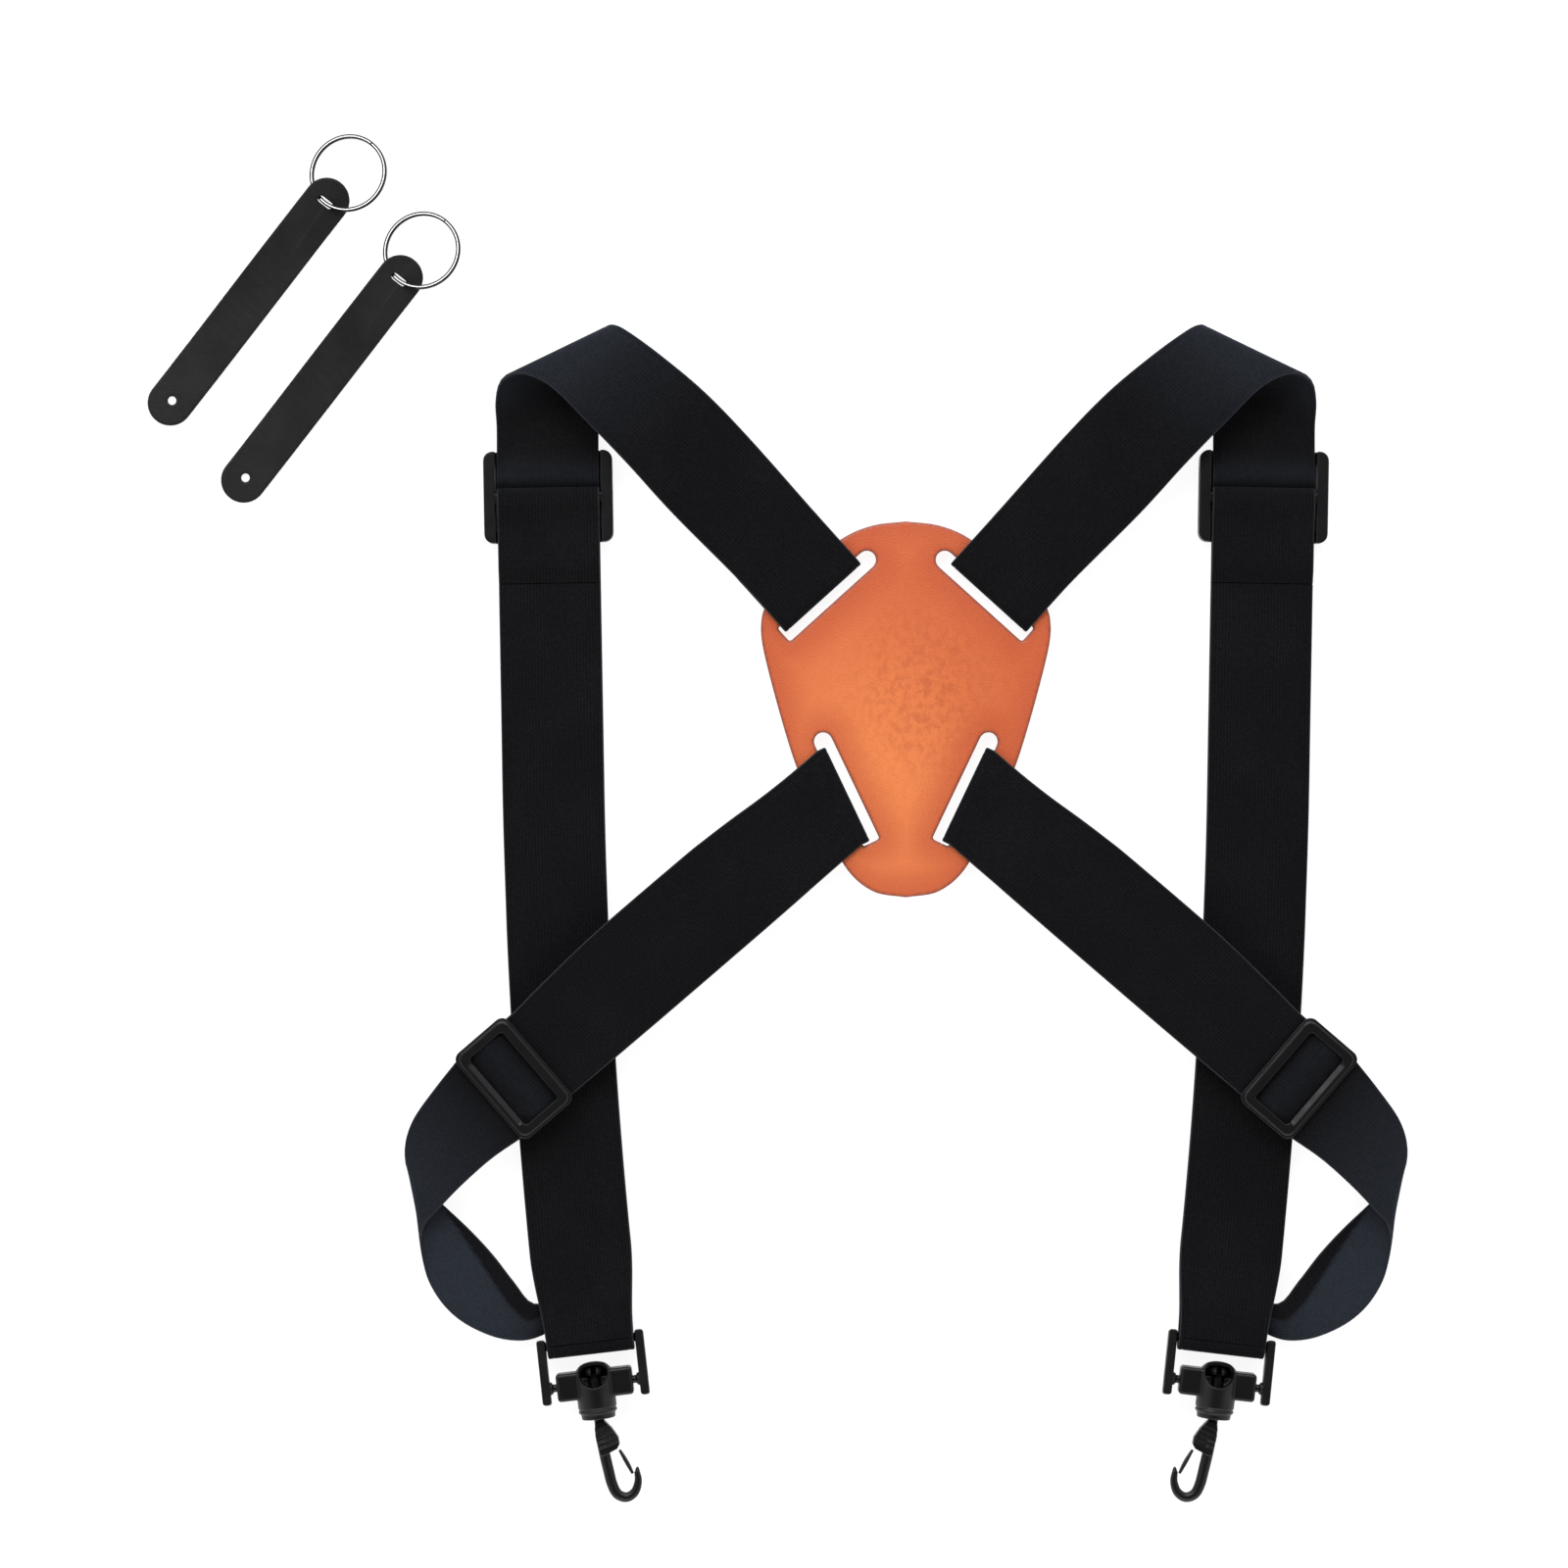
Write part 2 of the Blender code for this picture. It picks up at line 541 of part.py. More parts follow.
def lower_slider():
    """End bars and rails over the strap, and the middle bar under it on two posts."""
    bottom, top = WEB_THICK / 2 + GAP, SIDE_SLIDER_TOP
    ring = plate(rounded_outline(*SIDE_SLIDER_HALF, 3.4), bottom, top, bevel=0.5)
    window = plate(rounded_outline(*SIDE_WINDOW_HALF, 1.5, 2), bottom - 3, top + 3)
    body = combined(ring, "DIFFERENCE", [window])
    posts = [box((side * 19.85 - 0.75, -3.2, -4.05), (side * 19.85 + 0.75, 3.2, bottom + 0.6)) for side in (-1, 1)]
    bar = box((-19.6, -1.6, -4.05), (19.6, 1.9, -2.55))
    body = combined(body, "UNION", [*posts, bar])
    return "lower_slider", moved(body, SIDE_SLIDER_PLACE), "hardware", SIDE_SLIDER


# ---- hook unit -----------------------------------------------------------------------------------------------------


def hook_frame():
    inside = FRAME_INSIDE / 2
    bar = rod(CROSSBAR_RADIUS, -inside - 1, inside + 1)
    parts = []
    for side in (-1, 1):
        x = side * (inside + ARM_WIDTH / 2)
        low = (x - ARM_WIDTH / 2, -PIN_DROP - ARM_FOOT, -ARM_THICK / 2)
        high = (x + ARM_WIDTH / 2, ARM_TOP, ARM_THICK / 2)
        parts.append(box(low, high, bevel=0.9))
        ends = sorted((side * (inside + 0.8), side * (inside - 5.4)))
        parts.append(rod(PIN_RADIUS, *ends, place=Matrix.Translation((0, -PIN_DROP, 0))))
    body = combined(bar, "UNION", parts)
    return "hook_frame", moved(body, FRAME_PLACE), "hardware", CROSSBAR


def swivel_body():
    """A barrel with two arms. It hangs on the frame's pins, and the hook's stem turns in it."""
    profile = [(0, 8.3), (3.4, 7.9), (5.6, 6.6), (6.9, 4.9), (7.2, 3.0), (7.2, -10.2), (6.4, -10.9), (6.2, -12.9),
               (0, -12.9)]  # fmt: skip
    barrel = turned(profile, segments=24)
    arms = box((-14.2, -5.2, -4.9), (14.2, 5.2, 4.9), bevel=1.2)
    body = combined(barrel, "UNION", [arms])
    cup = turned([(0, 2.4), (4.7, 2.4), (5.0, 4.6), (3.8, 6.2), (0, 6.9)], segments=24)
    bore = turned([(0, 5), (2.25, 5), (2.25, -20), (0, -20)], segments=16)
    scoop_place = Matrix.Translation((0, 4.3, 6.6)) @ Matrix.Rotation(math.radians(90), 4, "X")
    scoop = turned([(0, -6), (5.4, -6), (5.4, 6), (0, 6)], scoop_place, segments=24)
    sockets = [rod(PIN_RADIUS + 0.28, *sorted((side * 20, side * 10.6))) for side in (-1, 1)]
    body = combined(body, "DIFFERENCE", [cup, bore, scoop, *sockets])
    return "swivel_body", moved(body, BODY_PLACE), "hardware", PIN_AXIS


def snap_hook():
    """Split head, stem, shoulder and hook in one moulding. The hook stands a little bent from its stem."""
    head = turned([(0, 6.0), (2.0, 6.0), (3.2, 4.8), (3.2, 3.4), (2.0, 2.7), (0, 2.7)], segments=16)
    stem = turned([(0, 3.4), (1.85, 3.4), (1.85, NECK_Y - 2), (0, NECK_Y - 2)], segments=16)
    stem = combined(stem, "UNION", [head])
    slit = box((-1.0, 3.0, -5), (1.0, 9, 5))
    stem = moved(combined(stem, "DIFFERENCE", [slit]), BODY_PLACE)
    outline = [(1.7, -0.4), (2.6, -3.0), (3.2, -6.0), (3.3, -9.5), (3.5, -12.6), (0.4, -12.7), (-3.3, -12.0),
               (-4.7, -10.6), (-5.0, -8.0), (-3.8, -4.2), (-1.8, -0.4)]  # fmt: skip
    shoulder = plate(outline, -2.3, 2.3, HOOK_PLACE, bevel=0.7)
    spine = [(1.3, -7), (1.9, -13), (2.3, -18.5), (2.6, -24), (1.8, -28.2), (-1.1, -30.4), (-4.6, -29.4),
             (-7.0, -26), (-7.7, -22.4)]  # fmt: skip
    points = curve_through([HOOK_PLACE @ Vector((*p, 0)) for p in spine], 3)
    radii = [1.75 - 0.75 * (i / (len(points) - 1)) ** 3 for i in range(len(points))]
    body = combined(stem, "UNION", [shoulder, tube(points, radii)])
    return "snap_hook", body, "hardware", PIN_AXIS


GATE_ROOT, GATE_END = Vector((-3.9, -12.9, 0)), Vector((-5.9, -22.6, 0))


def hook_gate():
    """The springy strip that closes the hook, from its shoulder to its tip."""
    way = (GATE_END - GATE_ROOT).normalized()
    side = Vector((-way.y, way.x, 0)) * 0.5
    corners = [GATE_ROOT - side, GATE_ROOT + side, GATE_END + side * 0.8, GATE_END - side * 0.8]
    strip = plate([(p.x, p.y) for p in corners], -1.5, 1.5, HOOK_PLACE)
    return "hook_gate", strip, "hardware", HOOK_PLACE @ GATE_ROOT


# ---- tabs and rings ------------------------------------------------------------------------------------------------


def tab_axes(foot, angle):
    """The tab's way up to its ring, the way to its right, and its ring hole's place."""
    way, right = heading(angle), heading(angle - 90)
    return way, right, foot + way * TAB_PITCH + UP * TAB_LIFT


def make_tab(name, foot, angle):
    way, right, ring_hole = tab_axes(foot, angle)
    radius = TAB_WIDTH / 2
    low, high = -TAB_END, TAB_PITCH + TAB_END
    spots = [radius * (1 - math.cos(math.radians(a))) for a in (10, 26, 42, 58, 74, 90)]
    places = [low + s for s in spots] + [20, 35, 50, 62, 72, 80] + [high - s for s in reversed(spots)]
    stations = []
    for t in places:
        near_end = min(t - low, high - t, radius)
        half = math.sqrt(radius**2 - (radius - near_end) ** 2)
        roll = math.radians(TAB_ROLL) * ease((t - 25) / (TAB_PITCH - 35))
        rise = TAB_THICK / 2 + (TAB_LIFT - TAB_THICK / 2) * ease((t - 5) / (TAB_PITCH - 8))
        across = right * math.cos(roll) - UP * math.sin(roll)
        stations.append((foot + way * t + UP * rise, across * half))
    strip = ribbon(stations, TAB_THICK)
    small = turned([(0, -5), (1.5, -5), (1.5, 5), (0, 5)], segments=12)
    moved(small, Matrix.Translation(foot) @ Matrix.Rotation(math.radians(90), 4, "X"))
    slot = plate(rounded_outline(3.2, 1.25, 1.2, 3), -6, 6)
    moved(slot, Matrix.Translation(ring_hole + way * 0.2) @ Matrix.Rotation(math.radians(angle - 90), 4, "Z")
          @ Matrix.Rotation(math.radians(TAB_ROLL), 4, "Y"))  # fmt: skip
    finish(f"tab_{name}", combined(strip, "DIFFERENCE", [small, slot]), "tab_leather", foot)


def make_ring(name, foot, angle):
    """Two turns of flat wire. The ring leans the other way from the tab, and goes through its slot."""
    way, right, hole = tab_axes(foot, angle)
    tilt = math.radians(RING_TILT)
    across = right * math.cos(tilt) + UP * math.sin(tilt)
    normal = across.cross(way).normalized()
    centre = hole + way * RING_RADIUS
    shape = bmesh.new()
    turns, steps, pitch = 2, 32, RING_WIRE + 0.14
    sections = []
    for i in range(turns * steps + 1):
        angle_at = 2 * math.pi * i / steps
        spoke = way * math.cos(angle_at) + across * math.sin(angle_at)
        middle = centre + spoke * RING_RADIUS + normal * pitch * (i / steps - turns / 2)
        corners = [(-1, -1), (1, -1), (1, 1), (-1, 1)]
        offsets = [spoke * x * RING_BAND / 2 + normal * z * RING_WIRE / 2 for x, z in corners]
        sections.append([shape.verts.new(middle + offset) for offset in offsets])
    for section, following in zip(sections, sections[1:]):
        for k in range(4):
            j = (k + 1) % 4
            shape.faces.new((section[k], section[j], following[j], following[k]))
    shape.faces.new(sections[0])
    shape.faces.new(sections[-1])
    finish(f"split_ring_{name}", shape, "ring_steel", hole)


# ---- assembly ------------------------------------------------------------------------------------------------------


def centre_on_base():
    """Move everything so that the origin is the bottom centre of the whole object's box."""
    bpy.context.view_layer.update()
    corners = [piece.matrix_world @ vertex.co for piece in made for vertex in piece.data.vertices]
    low = Vector([min(c[k] for c in corners) for k in range(3)])
    high = Vector([max(c[k] for c in corners) for k in range(3)])
    shift = Vector((-(low.x + high.x) / 2, -(low.y + high.y) / 2, -low.z))
    for piece in made:
        piece.location += shift
    return shift, high - low


clear_scene()
make_yoke()
for drawn in (shoulder_strap, front_return_ply, upper_slider_sewn_end, side_strap, side_return_ply,
              lower_slider_sewn_end, upper_slider, lower_slider, hook_frame, swivel_body, snap_hook,
              hook_gate):  # fmt: skip
    for_both_sides(drawn)
for tab, (tab_foot, tab_angle) in TABS.items():
    make_tab(tab, tab_foot, tab_angle)
    make_ring(tab, tab_foot, tab_angle)
moved_by, whole = centre_on_base()
print("moved by", [round(v, 5) for v in moved_by], "size", [round(v, 5) for v in whole])
for piece in made:
    print(piece.name, [round(v, 5) for v in piece.location])
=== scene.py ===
# %% [markdown]
# # A saxophone harness, laid flat
# A player wears this harness like a pair of braces. A leather yoke lies between the shoulder blades, elastic
# webbing runs over both shoulders and under both arms, and two swivel hooks at the front carry the instrument.
# Two loose leather tabs on split rings lie beside it.
#
# The frame that is loaded here already has every piece at its real size and place. This file gives the pieces
# their finish: the webbing gets its section, folds and weave, the leather its grain and burnished edge, and the
# moulded parts their soft edges.

import json
import math

import bmesh
import bpy
from mathutils import Matrix, Vector, kdtree, noise


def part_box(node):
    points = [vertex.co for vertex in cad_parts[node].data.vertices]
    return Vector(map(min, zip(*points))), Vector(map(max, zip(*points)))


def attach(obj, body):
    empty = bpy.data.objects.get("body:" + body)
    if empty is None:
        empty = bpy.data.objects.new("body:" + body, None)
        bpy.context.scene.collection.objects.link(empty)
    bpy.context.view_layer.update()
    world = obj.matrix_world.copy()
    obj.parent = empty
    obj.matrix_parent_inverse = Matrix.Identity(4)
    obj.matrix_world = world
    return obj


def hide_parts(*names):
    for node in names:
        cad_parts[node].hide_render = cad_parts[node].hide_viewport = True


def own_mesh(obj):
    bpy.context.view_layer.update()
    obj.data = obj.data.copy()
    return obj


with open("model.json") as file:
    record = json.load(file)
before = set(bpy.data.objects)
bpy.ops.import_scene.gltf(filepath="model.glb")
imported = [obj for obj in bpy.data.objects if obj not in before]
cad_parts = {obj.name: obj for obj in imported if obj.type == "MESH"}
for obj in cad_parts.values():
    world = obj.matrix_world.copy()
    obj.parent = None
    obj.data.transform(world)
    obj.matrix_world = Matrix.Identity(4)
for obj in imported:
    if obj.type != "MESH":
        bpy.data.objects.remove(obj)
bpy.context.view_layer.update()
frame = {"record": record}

# %% [markdown]
# The harness is drawn in millimetres about its own middle, with X outwards, Y towards the shoulders and Z up,
# because it is alike on both sides. One point ties that drawing to the frame: the middle of the yoke's top edge.

# %% Places in the frame
MM = 0.001
UP = Vector((0, 0, 1))
YOKE_TOP = 110.8
yoke_low, yoke_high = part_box("yoke")
ORIGIN = Vector(((yoke_low.x + yoke_high.x) / 2, yoke_high.y - YOKE_TOP * MM, 0))
MIRRORED = {"right": False, "left": True}
BODY_OF = {node: body for body, nodes in frame["record"]["behaviour"]["bodies"].items() for node in nodes}
print("the harness's middle is at", [round(v, 4) for v in ORIGIN])

# %% [markdown]
# The camera hangs straight over the layout with a long lens, so that nothing leans outwards. The floor is a plain
# white light table, so shadows on it are faint. A wide soft light high up behind the shoulders does most of the work.
# A cool one lower down grazes the folds, and a small one lights the front.

# %% Camera, floor and light
VIEW_MIDDLE = ORIGIN + Vector((-45.4, 12.9, 5.0)) * MM
VIEW_WIDTH = 0.584
SENSOR, LENS = 36, 120
camera_data = bpy.data.cameras.new("camera")
camera_data.sensor_width = SENSOR
camera_data.lens = LENS
camera = bpy.data.objects.new("camera", camera_data)
camera.location = VIEW_MIDDLE + UP * (VIEW_WIDTH * LENS / SENSOR)
bpy.context.collection.objects.link(camera)
bpy.context.scene.camera = camera
bpy.context.scene.view_settings.view_transform = "Standard"

floor_mesh = bpy.data.meshes.new("floor")
FLOOR_HALF, FLOOR_Z = 6, -0.0002
corners = [(x * FLOOR_HALF, y * FLOOR_HALF, FLOOR_Z) for x, y in ((-1, -1), (1, -1), (1, 1), (-1, 1))]
floor_mesh.from_pydata(corners, [], [(0, 1, 2, 3)])
floor = bpy.data.objects.new("floor", floor_mesh)
bpy.context.collection.objects.link(floor)


def softbox(name, place, size, watts, colour=(1, 1, 1)):
    data = bpy.data.lights.new(name, "AREA")
    data.shape = "RECTANGLE"
    data.size, data.size_y = size
    data.energy = watts
    data.color = colour
    light = bpy.data.objects.new(name, data)
    light.location = place
    light.rotation_euler = (VIEW_MIDDLE - Vector(place)).to_track_quat("-Z", "Y").to_euler()
    light.visible_camera = False
    bpy.context.collection.objects.link(light)


softbox("high_back", (-0.25, 1.0, 1.15), (1.6, 0.8), 15)
softbox("behind_shoulders", (0.0, 1.35, 0.42), (2.6, 0.5), 12, (0.72, 0.84, 1.0))
softbox("low_front", (0.0, -1.2, 0.55), (1.5, 0.25), 5)

# %% [markdown]
# ## Finishes
# Each finish is a small tree of nodes. `add` makes one node and fills its sockets, with a value or with a link
# from another node. A number that is the same all over the surface goes on the shader's own socket.


# %% Helpers for finishes
def start_finish(name, colour, roughness, **constant):
    surface = bpy.data.materials.new(name)
    surface.use_nodes = True
    shader = surface.node_tree.nodes["Principled BSDF"]
    shader.inputs["Base Color"].default_value = (*colour, 1)
    shader.inputs["Roughness"].default_value = roughness
    for key, value in constant.items():
        shader.inputs[key.replace("_", " ")].default_value = value
    return surface, surface.node_tree, shader


def fill(tree, socket, value):
    if isinstance(value, bpy.types.NodeSocket):
        tree.links.new(value, socket)
    elif isinstance(value, tuple) and len(value) == 3 and socket.type == "RGBA":
        socket.default_value = (*value, 1)
    else:
        socket.default_value = value


def add(tree, kind, settings=None, **inputs):
    node = tree.nodes.new(kind)
    for key, value in (settings or {}).items():
        setattr(node, key, value)
    for key, value in inputs.items():
        fill(tree, node.inputs[key.replace("_", " ")], value)
    return node


def calc(tree, operation, *values, clamp=False):
    """The output of a Math node."""
    node = add(tree, "ShaderNodeMath", {"operation": operation, "use_clamp": clamp})
    for socket, value in zip(node.inputs, values):
        fill(tree, socket, value)
    return node.outputs[0]


def mixed(tree, share, first, second, blend="MIX"):
    """The colour output of a Mix node."""
    node = add(tree, "ShaderNodeMix", {"data_type": "RGBA", "blend_type": blend})
    for index, value in ((0, share), (6, first), (7, second)):
        fill(tree, node.inputs[index], value)
    return node.outputs[2]


def ramp(tree, value, low, high):
    """A value between low and high becomes 0 to 1, smoothly."""
    node = add(tree, "ShaderNodeMapRange", {"interpolation_type": "SMOOTHSTEP"})
    for index, given in ((0, value), (1, low), (2, high)):
        fill(tree, node.inputs[index], given)
    return node.outputs[0]


def speckle(tree, scale, detail=2.0, distortion=0.0, stretch=None):
    """Noise in the object's own space, from 0 to 1."""
    place = add(tree, "ShaderNodeTexCoord").outputs["Object"]
    if stretch:
        place = add(tree, "ShaderNodeMapping", Vector=place, Scale=stretch).outputs[0]
    return add(tree, "ShaderNodeTexNoise", Vector=place, Scale=scale, Detail=detail,
               Distortion=distortion).outputs[0]  # fmt: skip


def painted(tree, name):
    """A value that a mesh carries at its points."""
    return add(tree, "ShaderNodeAttribute", {"attribute_name": name}).outputs["Fac"]


def bump(tree, shader, height, strength, distance, below=None):
    node = add(tree, "ShaderNodeBump", Strength=strength, Distance=distance, Height=height)
    if below is not None:
        tree.links.new(below, node.inputs["Normal"])
    tree.links.new(node.outputs[0], shader.inputs["Normal"])
    return node.outputs[0]


# %% [markdown]
# Elastic webbing is a close plain weave over rubber cores. Every mesh of it carries a UV map in metres, with U
# along the strap and V across it, so the knots of the weave keep their size round every fold. A pale bluish sheen is
# painted into the colour where the webbing bends or bulges, strongest on the arm loop past its fold, which the meshes
# carry as `stretch`. A paler grey highlight is painted along both edges of the strap.

# %% Webbing
PICK, WALE = 0.00095, 0.0012
webbing, tree, shader = start_finish(
    "webbing", (0.004, 0.004, 0.005), 0.78,
    Sheen_Weight=0.1, Sheen_Roughness=0.35, Sheen_Tint=(0.55, 0.68, 1.0, 1), Specular_IOR_Level=0.08,
)  # fmt: skip
weave_map = add(tree, "ShaderNodeUVMap", {"uv_map": "weave"}).outputs[0]
along_across = add(tree, "ShaderNodeSeparateXYZ", Vector=weave_map)
wales = calc(tree, "DIVIDE", along_across.outputs[1], WALE)
picks = calc(tree, "DIVIDE", along_across.outputs[0], PICK)
staggered = calc(tree, "MULTIPLY_ADD", calc(tree, "FLOOR", wales), 0.5, picks)
round_along = calc(tree, "SINE", calc(tree, "MULTIPLY", calc(tree, "FRACT", staggered), math.pi))
round_across = calc(tree, "SINE", calc(tree, "MULTIPLY", calc(tree, "FRACT", wales), math.pi))
knots = calc(tree, "MULTIPLY", round_along, round_across)
yarn = speckle(tree, 950)
fuzz = calc(tree, "MULTIPLY_ADD", knots, 0.45, calc(tree, "MULTIPLY", yarn, 0.75))
cloth_colour = mixed(tree, ramp(tree, fuzz, 0.2, 1.0), (0.001, 0.001, 0.0012), (0.0062, 0.006, 0.0074))
patchy = ramp(tree, speckle(tree, 38), 0.35, 0.7)
cloth_colour = mixed(tree, patchy, cloth_colour, mixed(tree, 1.0, cloth_colour, (1.35, 1.32, 1.25), "MULTIPLY"))
# The pale bluish painted sheen, laid on where the meshes carry `stretch`.
painted_sheen_colour = mixed(tree, fuzz, (0.0085, 0.0105, 0.0145), (0.028, 0.033, 0.044))
cloth_colour = mixed(tree, painted(tree, "stretch"), cloth_colour, painted_sheen_colour)
# A paler grey highlight painted along the strap's edges.
cloth_colour = mixed(tree, painted(tree, "painted_edge_highlight"), cloth_colour, (0.03, 0.032, 0.037))
tree.links.new(cloth_colour, shader.inputs["Base Color"])
bump(tree, shader, fuzz, 0.5, 0.00035)

# %% [markdown]
# The yoke is vegetable-tanned leather in orange tan. Its colour drifts: lighter where it has been rubbed, redder
# towards the top and the edges, and brown where the cut edge was burnished. A field of fine creases lies right of
# the middle, where it bends between the shoulder blades, and painted shade darkens the lines of the creases. The
# distance from the edge comes from the mesh, as `rim` and `border`.

# %% Yoke leather
yoke_leather, tree, shader = start_finish(
    "yoke_leather", (0.66, 0.15, 0.045), 0.42,
    Coat_Weight=0.12, Coat_Roughness=0.4, Specular_IOR_Level=0.4,
)  # fmt: skip
RUBBED = ORIGIN + Vector((-12, 16, 5)) * MM
CREASED = ORIGIN + Vector((8, 47, 5)) * MM


def near(tree, place, reach, squeeze=(1, 1, 1)):
    """1 at a place, falling to 0 at a distance from it."""
    spot = add(tree, "ShaderNodeTexCoord").outputs["Object"]
    centred = add(tree, "ShaderNodeVectorMath", {"operation": "SUBTRACT"})
    fill(tree, centred.inputs[0], spot)
    fill(tree, centred.inputs[1], tuple(place))
    scaled = add(tree, "ShaderNodeVectorMath", {"operation": "MULTIPLY"})
    fill(tree, scaled.inputs[0], centred.outputs[0])
    fill(tree, scaled.inputs[1], squeeze)
    length = add(tree, "ShaderNodeVectorMath", {"operation": "LENGTH"})
    fill(tree, length.inputs[0], scaled.outputs[0])
    return ramp(tree, length.outputs["Value"], reach, 0.0)


drift = ramp(tree, speckle(tree, 22, 3), 0.3, 0.75)
rubbed = near(tree, RUBBED, 0.062, (1.0, 0.75, 1))
leather_colour = mixed(tree, rubbed, (0.61, 0.122, 0.036), (0.84, 0.235, 0.066))
leather_colour = mixed(tree, calc(tree, "MULTIPLY", drift, 0.35), leather_colour, (0.74, 0.185, 0.062))
creased = near(tree, CREASED, 0.05, (1.1, 0.9, 1))
wrinkle = ramp(tree, speckle(tree, 380, 5, 0.4, (1.0, 0.75, 1)), 0.38, 0.68)
crease_bump_and_painted_shade = calc(tree, "MULTIPLY", wrinkle, creased)
# Painted shade darkens the crease lines, over their bump.
leather_colour = mixed(tree, calc(tree, "MULTIPLY", crease_bump_and_painted_shade, 0.5), leather_colour, (0.45, 0.082, 0.028))
border = painted(tree, "border")
leather_colour = mixed(tree, calc(tree, "MULTIPLY", border, 0.6), leather_colour, (0.50, 0.080, 0.028))
leather_colour = mixed(tree, painted(tree, "rim"), leather_colour, (0.20, 0.034, 0.016))
pores = add(tree, "ShaderNodeTexVoronoi", {"feature": "DISTANCE_TO_EDGE"},
            Vector=add(tree, "ShaderNodeTexCoord").outputs["Object"], Scale=850)  # fmt: skip
pore = ramp(tree, pores.outputs["Distance"], 0.0, 0.25)
leather_colour = mixed(tree, 0.10, leather_colour, mixed(tree, pore, (0.35, 0.07, 0.03), leather_colour))
tree.links.new(leather_colour, shader.inputs["Base Color"])
grain = bump(tree, shader, pore, 0.25, 0.0002)
bump(tree, shader, calc(tree, "SUBTRACT", 1.0, crease_bump_and_painted_shade), 0.15, 0.0003, grain)
polish = calc(tree, "MULTIPLY_ADD", speckle(tree, 60), 0.2, 0.34)
tree.links.new(polish, shader.inputs["Roughness"])

# %% [markdown]
# The slides and hooks are moulded in black plastic with a fine spark-eroded texture, a little glossier where
# fingers and webbing rub it. The tabs are thin charcoal leather. The rings are spring steel. A dark reflection is
# painted along the edges of the wire, marked on the mesh's points, and leaves a bright stripe on its flat.

# %% Moulded plastic, tab leather, ring steel, thread and floor
hardware, tree, shader = start_finish("hardware", (0.004, 0.004, 0.0045), 0.4, Specular_IOR_Level=0.3)
worn = ramp(tree, speckle(tree, 180, 3), 0.35, 0.7)
plastic_colour = mixed(tree, worn, (0.0025, 0.0025, 0.0028), (0.0062, 0.0062, 0.0068))
tree.links.new(plastic_colour, shader.inputs["Base Color"])
tree.links.new(calc(tree, "MULTIPLY_ADD", worn, -0.12, 0.42), shader.inputs["Roughness"])
bump(tree, shader, speckle(tree, 4200), 0.12, 0.00008)

tab_leather, tree, shader = start_finish("tab_leather", (0.007, 0.007, 0.007), 0.5, Specular_IOR_Level=0.25)
blotch = ramp(tree, speckle(tree, 70, 3), 0.3, 0.75)
tab_colour = mixed(tree, blotch, (0.0055, 0.0055, 0.0057), (0.0105, 0.0105, 0.0108))
tab_colour = mixed(tree, calc(tree, "MULTIPLY", painted(tree, "rim"), 0.75), tab_colour, (0.0015, 0.0015, 0.0015))
tree.links.new(tab_colour, shader.inputs["Base Color"])
hide = add(tree, "ShaderNodeTexVoronoi", {"feature": "DISTANCE_TO_EDGE"},
           Vector=add(tree, "ShaderNodeTexCoord").outputs["Object"], Scale=1100)  # fmt: skip
bump(tree, shader, ramp(tree, hide.outputs["Distance"], 0.0, 0.3), 0.3, 0.00016)

ring_steel, tree, shader = start_finish("ring_steel", (0.4, 0.4, 0.41), 0.2, Metallic=1.0)
drawn = speckle(tree, 700, 2, 0.0, (1, 1, 6))
tree.links.new(calc(tree, "MULTIPLY_ADD", drawn, 0.25, 0.1), shader.inputs["Roughness"])
steel_colour = mixed(tree, drawn, (0.4, 0.4, 0.41), (0.72, 0.72, 0.74))
# A painted dark reflection along the edges of the wire.
steel_colour = mixed(tree, painted(tree, "painted_dark_reflection"), steel_colour, (0.012, 0.012, 0.013))
tree.links.new(steel_colour, shader.inputs["Base Color"])

thread, tree, shader = start_finish("thread", (0.004, 0.004, 0.005), 0.7, Specular_IOR_Level=0.1)
tree.links.new(mixed(tree, speckle(tree, 3000), (0.0015, 0.0015, 0.002), (0.006, 0.006, 0.007)),
               shader.inputs["Base Color"])  # fmt: skip

paper, tree, shader = start_finish("paper", (0.2, 0.2, 0.2), 0.9, Specular_IOR_Level=0.1)
floor_mesh.materials.append(paper)
print("finishes:", ", ".join(sorted(m.name for m in bpy.data.materials if m.users)))

# %% [markdown]
# The room round the table is white, but dark straight above, where the camera is. Black plastic would otherwise
# mirror the ceiling and look grey.

# %% Room
FLOOR_GLOW, ROOM_LIGHT, CEILING_LIGHT = 0.9, 0.95, 0.05
floor_shader = paper.node_tree.nodes["Principled BSDF"]
floor_shader.inputs["Emission Color"].default_value = (1, 1, 1, 1)
floor_shader.inputs["Emission Strength"].default_value = FLOOR_GLOW
world = bpy.data.worlds.new("studio")
world.use_nodes = True
tree = world.node_tree
direction = add(tree, "ShaderNodeSeparateXYZ", Vector=add(tree, "ShaderNodeTexCoord").outputs["Generated"]).outputs[2]
overhead = calc(tree, "MULTIPLY", ramp(tree, direction, 0.6, 0.95), CEILING_LIGHT - ROOM_LIGHT)
tree.links.new(calc(tree, "ADD", overhead, ROOM_LIGHT), tree.nodes["Background"].inputs["Strength"])
tree.nodes["Background"].inputs["Color"].default_value = (1, 1, 1, 1)
bpy.context.scene.world = world

# %% [markdown]
# ## From a drawing to a piece
# A shape is drawn once, for the right side, in the harness's millimetres. `put` turns it into an object in the
# frame, mirrored if need be, and `stand_for` lets it ride on the body of the node that it replaces.


# %% Making a piece
made = []


